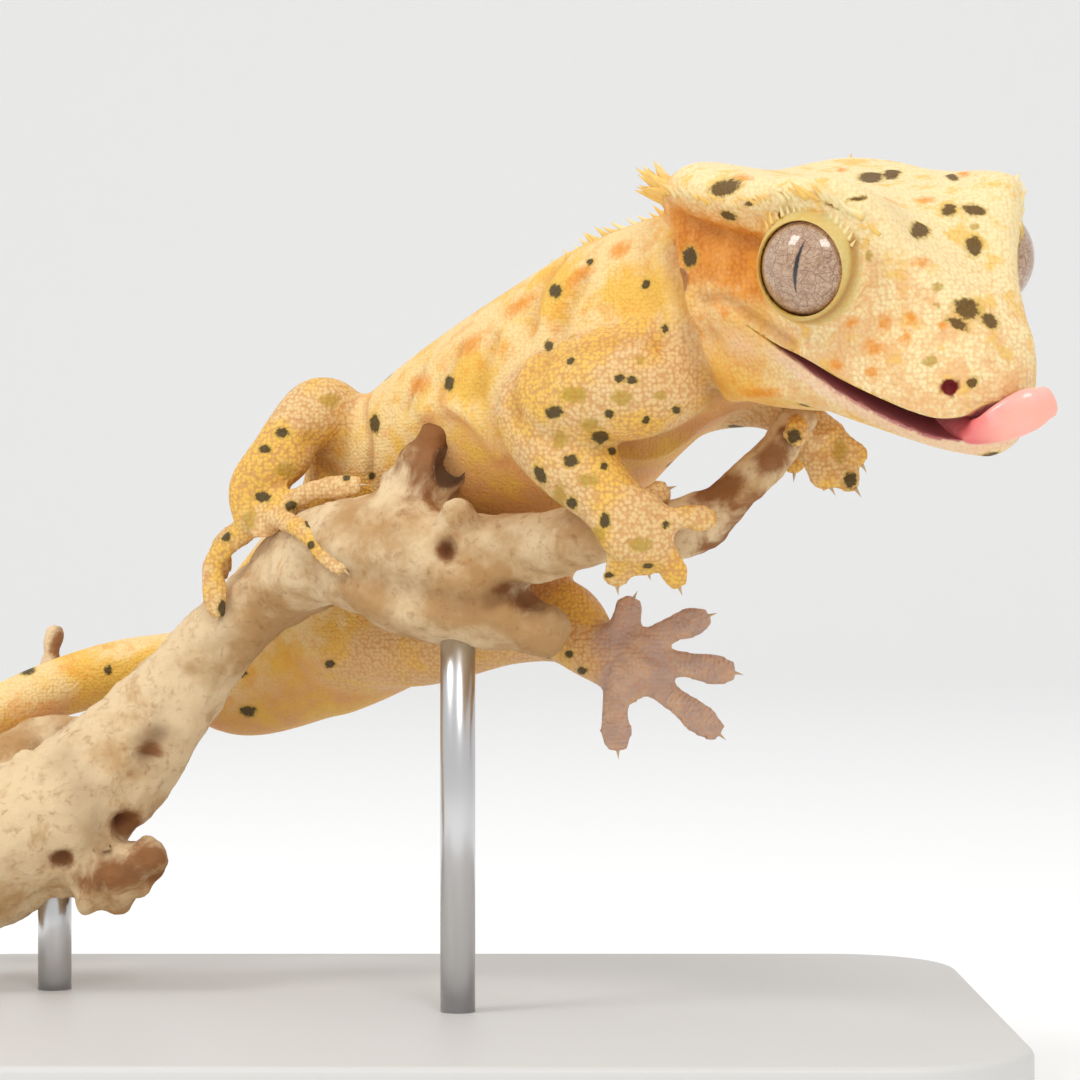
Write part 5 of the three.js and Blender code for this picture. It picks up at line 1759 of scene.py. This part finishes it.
@dataclass
class Perch:
    """The cut length of driftwood."""

    voxel: float = 0.42
    quick_voxel: float = 0.7
    rough: float = 0.55
    nodes: tuple[str, ...] = ("perch_stem", "perch_limb", "perch_fork")

    def build(self) -> bpy.types.Object:
        """Makes the wood."""
        sweeps = (STEM, LIMB, BROKEN_STUB, SMALL_STUB, KNOB, BARK, FORK, TWIG)
        thing = joined([sweep.shell(120, 48) for sweep in sweeps]).mesh("driftwood")
        remeshed(thing, self.voxel)
        mesh = thing.data
        edges = read_edges(mesh)
        points = relax(read_points(mesh), edges, np.full(len(mesh.vertices), 0.6), 5)
        write_points(mesh, points)
        normals = read_normals(mesh)
        lift = np.array([noise.fractal(Vector(p * 0.16), 0.9, 2.1, 4) for p in points])
        ridges = np.array([noise.noise(Vector(p * (0.09, 0.5, 0.5))) for p in points])
        keep = ease(-59.5, -57.5, points[:, 0])
        points = points + normals * ((self.rough * lift + 0.25 * ridges) * keep)[:, None]
        write_points(mesh, points)
        sight = Sight(mesh)
        # The folds' shade is painted shade in the pits and cracks.
        points, hollow_shade = folded(points, read_normals(mesh), sight, WOOD_FOLDS)
        write_points(mesh, points)
        chance_bark = sprinkled(points, 16, (2.0, 5.0), 3, normals[:, 1] > 0.2)
        store(mesh, "bark", np.maximum(marked(points, sight, BARK_MARKS, 2.2), chance_bark))
        store(mesh, "folded", hollow_shade)
        cut_with(thing, [HOLLOW.shell(30, 28), self.saw()])
        mesh = thing.data
        # Painted shade inside the broken stub's hole, joined with the folds' painted shade.
        inside = ease(1.25, 1.05, closeness(read_points(mesh), HOLLOW))
        store(mesh, "hollow_shade", np.maximum(stored(mesh, "folded"), inside * 0.85))
        return thing

    def saw(self) -> Shell:
        """The block that cuts the stem off flat at its back."""
        across = np.array([0.0, 1.0, 0.0])
        up = np.cross(CUT_DIRECTION, across)
        corners = [across * y + up * z for y, z in ((-12, -12), (12, -12), (12, 12), (-12, 12))]
        rings = np.array([[CUT_END - CUT_DIRECTION * depth + corner for corner in corners]
                          for depth in (0.0, 12.0)])
        return Shell.from_rings(rings, rings[0].mean(axis=0), rings[1].mean(axis=0))


@dataclass
class Stand:
    """A plain base with two rods."""

    size: Point = (108.0, 76.0, 8.0)
    corner: float = 12.0
    edge: float = 0.8
    rod_radius: float = 1.6
    rod_sides: int = 48
    rods: tuple[tuple[str, float, float, float], ...] = (
        ("stand_rod_front", -7.5, 26.5, -5.0), ("stand_rod_back", -46.5, 42.0, -30.0))

    def plate(self) -> bpy.types.Object:
        """The base, its edges rounded."""
        turn = np.linspace(0, math.pi / 2, 13)
        rings = []
        steps = [(0.0, self.edge)]
        steps += [(self.edge * (1 - math.cos(a)), self.edge * (1 - math.sin(a)))
                  for a in turn[1::3]]
        steps += [(self.size[2] - z, inset) for z, inset in reversed(steps)]
        for z, inset in steps:
            x, y = self.size[0] / 2 - self.corner, self.size[1] / 2 - self.corner
            r = self.corner - inset
            ring = []
            for quarter, (sx, sy) in enumerate(((1, 1), (-1, 1), (-1, -1), (1, -1))):
                for a in turn:
                    b = a + quarter * math.pi / 2
                    ring.append((sx * x + r * math.cos(b), sy * y + r * math.sin(b), z))
            rings.append(ring)
        made = Shell.from_rings(np.array(rings)[:, ::-1], np.zeros(3),
                                np.array([0, 0, self.size[2]]))
        return Shell(made.points - ANIMAL_AT, made.faces).mesh("base_plate")

    def rod(self, name: str, x: float, y: float, top: float) -> bpy.types.Object:
        """A rod up into the wood."""
        bottom = self.size[2] - ANIMAL_AT[2] - 0.2
        turn = np.linspace(0, 2 * math.pi, self.rod_sides, endpoint=False)
        circle = np.stack([x + self.rod_radius * np.cos(turn), y + self.rod_radius * np.sin(turn)],
                          axis=1)
        rings = np.stack([np.column_stack([circle, np.full(self.rod_sides, z)])
                          for z in (bottom, (bottom + top) / 2, top)])
        made = Shell.from_rings(rings[:, ::-1], np.array([x, y, bottom]), np.array([x, y, top]))
        return made.mesh(name + "_bar")


@dataclass
class Studio:
    """A pale sweep of floor and wall, soft lights and the camera."""

    target: Point = (0.02, 0.0, 0.065)
    highlights: tuple[Pixel, ...] = ((794.0, 240.0), (825.0, 243.0))
    glint_distance: float = 0.55
    sky: float = 0.78

    def camera(self) -> None:
        """Sets the camera of the photograph."""
        data = bpy.data.cameras.new("camera")
        data.lens = SENSOR * PIXELS_PER_TURN / PIXELS
        data.sensor_width = SENSOR
        camera = placed("camera", data)
        camera.location = Vector((ANIMAL_AT + CAMERA_AT) * MM)
        camera.rotation_euler = (math.pi / 2, 0, 0)
        bpy.context.scene.camera = camera

    def floor(self) -> None:
        """Makes the floor, curving up into a wall behind."""
        bend = np.linspace(0, math.pi / 2, 16)
        profile = [(-2.2, 0.0)] + [(0.9 + 0.5 * math.sin(a), 0.5 - 0.5 * math.cos(a))
                                   for a in bend] + [(1.4, 2.6)]
        points = [(x, y, z) for x in (-2.4, 2.4) for y, z in profile]
        n = len(profile)
        data = bpy.data.meshes.new("floor")
        data.from_pydata(points, [], [(i, i + n, i + n + 1, i + 1) for i in range(n - 1)])
        data.materials.append(PlainFinish("floor", (0.96, 0.96, 0.955), 0.75).material())
        thing = placed("floor", data)
        shade_smooth(data)

    def softbox(self, name: str, place: Array, size: float, power: float) -> None:
        """One square area light, facing the animal."""
        data = bpy.data.lights.new(name, "AREA")
        data.size = size
        data.energy = power
        light = placed(name, data)
        light.location = Vector(place)
        way = Vector(self.target) - Vector(place)
        light.rotation_euler = way.to_track_quat("-Z", "Y").to_euler()

    def glint_place(self, pixel: Pixel) -> Array:
        """Where a light stands so that the right eye shows it at a pixel."""
        way, normal = unit(np.array(pixel_ray(*pixel))), eye_normal(pixel)
        back = way - 2 * (way @ normal) * normal
        return (eye_centre(-1) + ANIMAL_AT) * MM + back * self.glint_distance

    def build(self) -> None:
        """Sets up everything round the piece."""
        self.camera()
        self.floor()
        for i, pixel in enumerate(self.highlights):
            self.softbox(f"softbox_{i}", self.glint_place(pixel), 0.16, 0.85)
        self.softbox("overhead", np.array([0.0, 0.05, 0.9]), 0.8, 1.0)
        world = bpy.data.worlds.new("studio")
        world.use_nodes = True
        light = world.node_tree.nodes["Background"]
        light.inputs[0].default_value = (1, 1, 1, 1)
        light.inputs[1].default_value = self.sky
        scene = bpy.context.scene
        scene.world = world
        scene.view_settings.view_transform = "Standard"
        scene.view_settings.look = "None"


def main() -> None:
    """Builds every piece, then the studio."""
    logging.basicConfig(level=logging.INFO)
    tree = spine_tree()
    skin = Skin().build()
    dress(skin, SkinFinish().material(), Skin.nodes)
    eye_finish = EyeFinish().material()
    for side, node in ((1, "eye_left"), (-1, "eye_right")):
        dress(Eye(side).build(), eye_finish, (node,))
    dress(Tongue().build(), TongueFinish().material(), ("tongue",))
    spine_finish = SpineFinish().material()
    dress(Spines().build(spine_finish, tree), spine_finish)
    claw_finish = PlainFinish("claw", (0.55, 0.38, 0.20), 0.35).material()
    dress(Claws().build(claw_finish, tree), claw_finish)
    dress(Perch().build(), WoodFinish().material(), Perch.nodes)
    stand = Stand()
    dress(stand.plate(), PlainFinish("base", (0.62, 0.61, 0.59), 0.45).material(),
          ("stand_base",))
    steel = PlainFinish("steel", (0.62, 0.62, 0.63), 0.28, 1.0).material()
    for name, x, y, top in stand.rods:
        dress(stand.rod(name, x, y, top), steel, (name,))
    Studio().build()


if __name__ == "__main__":
    main()
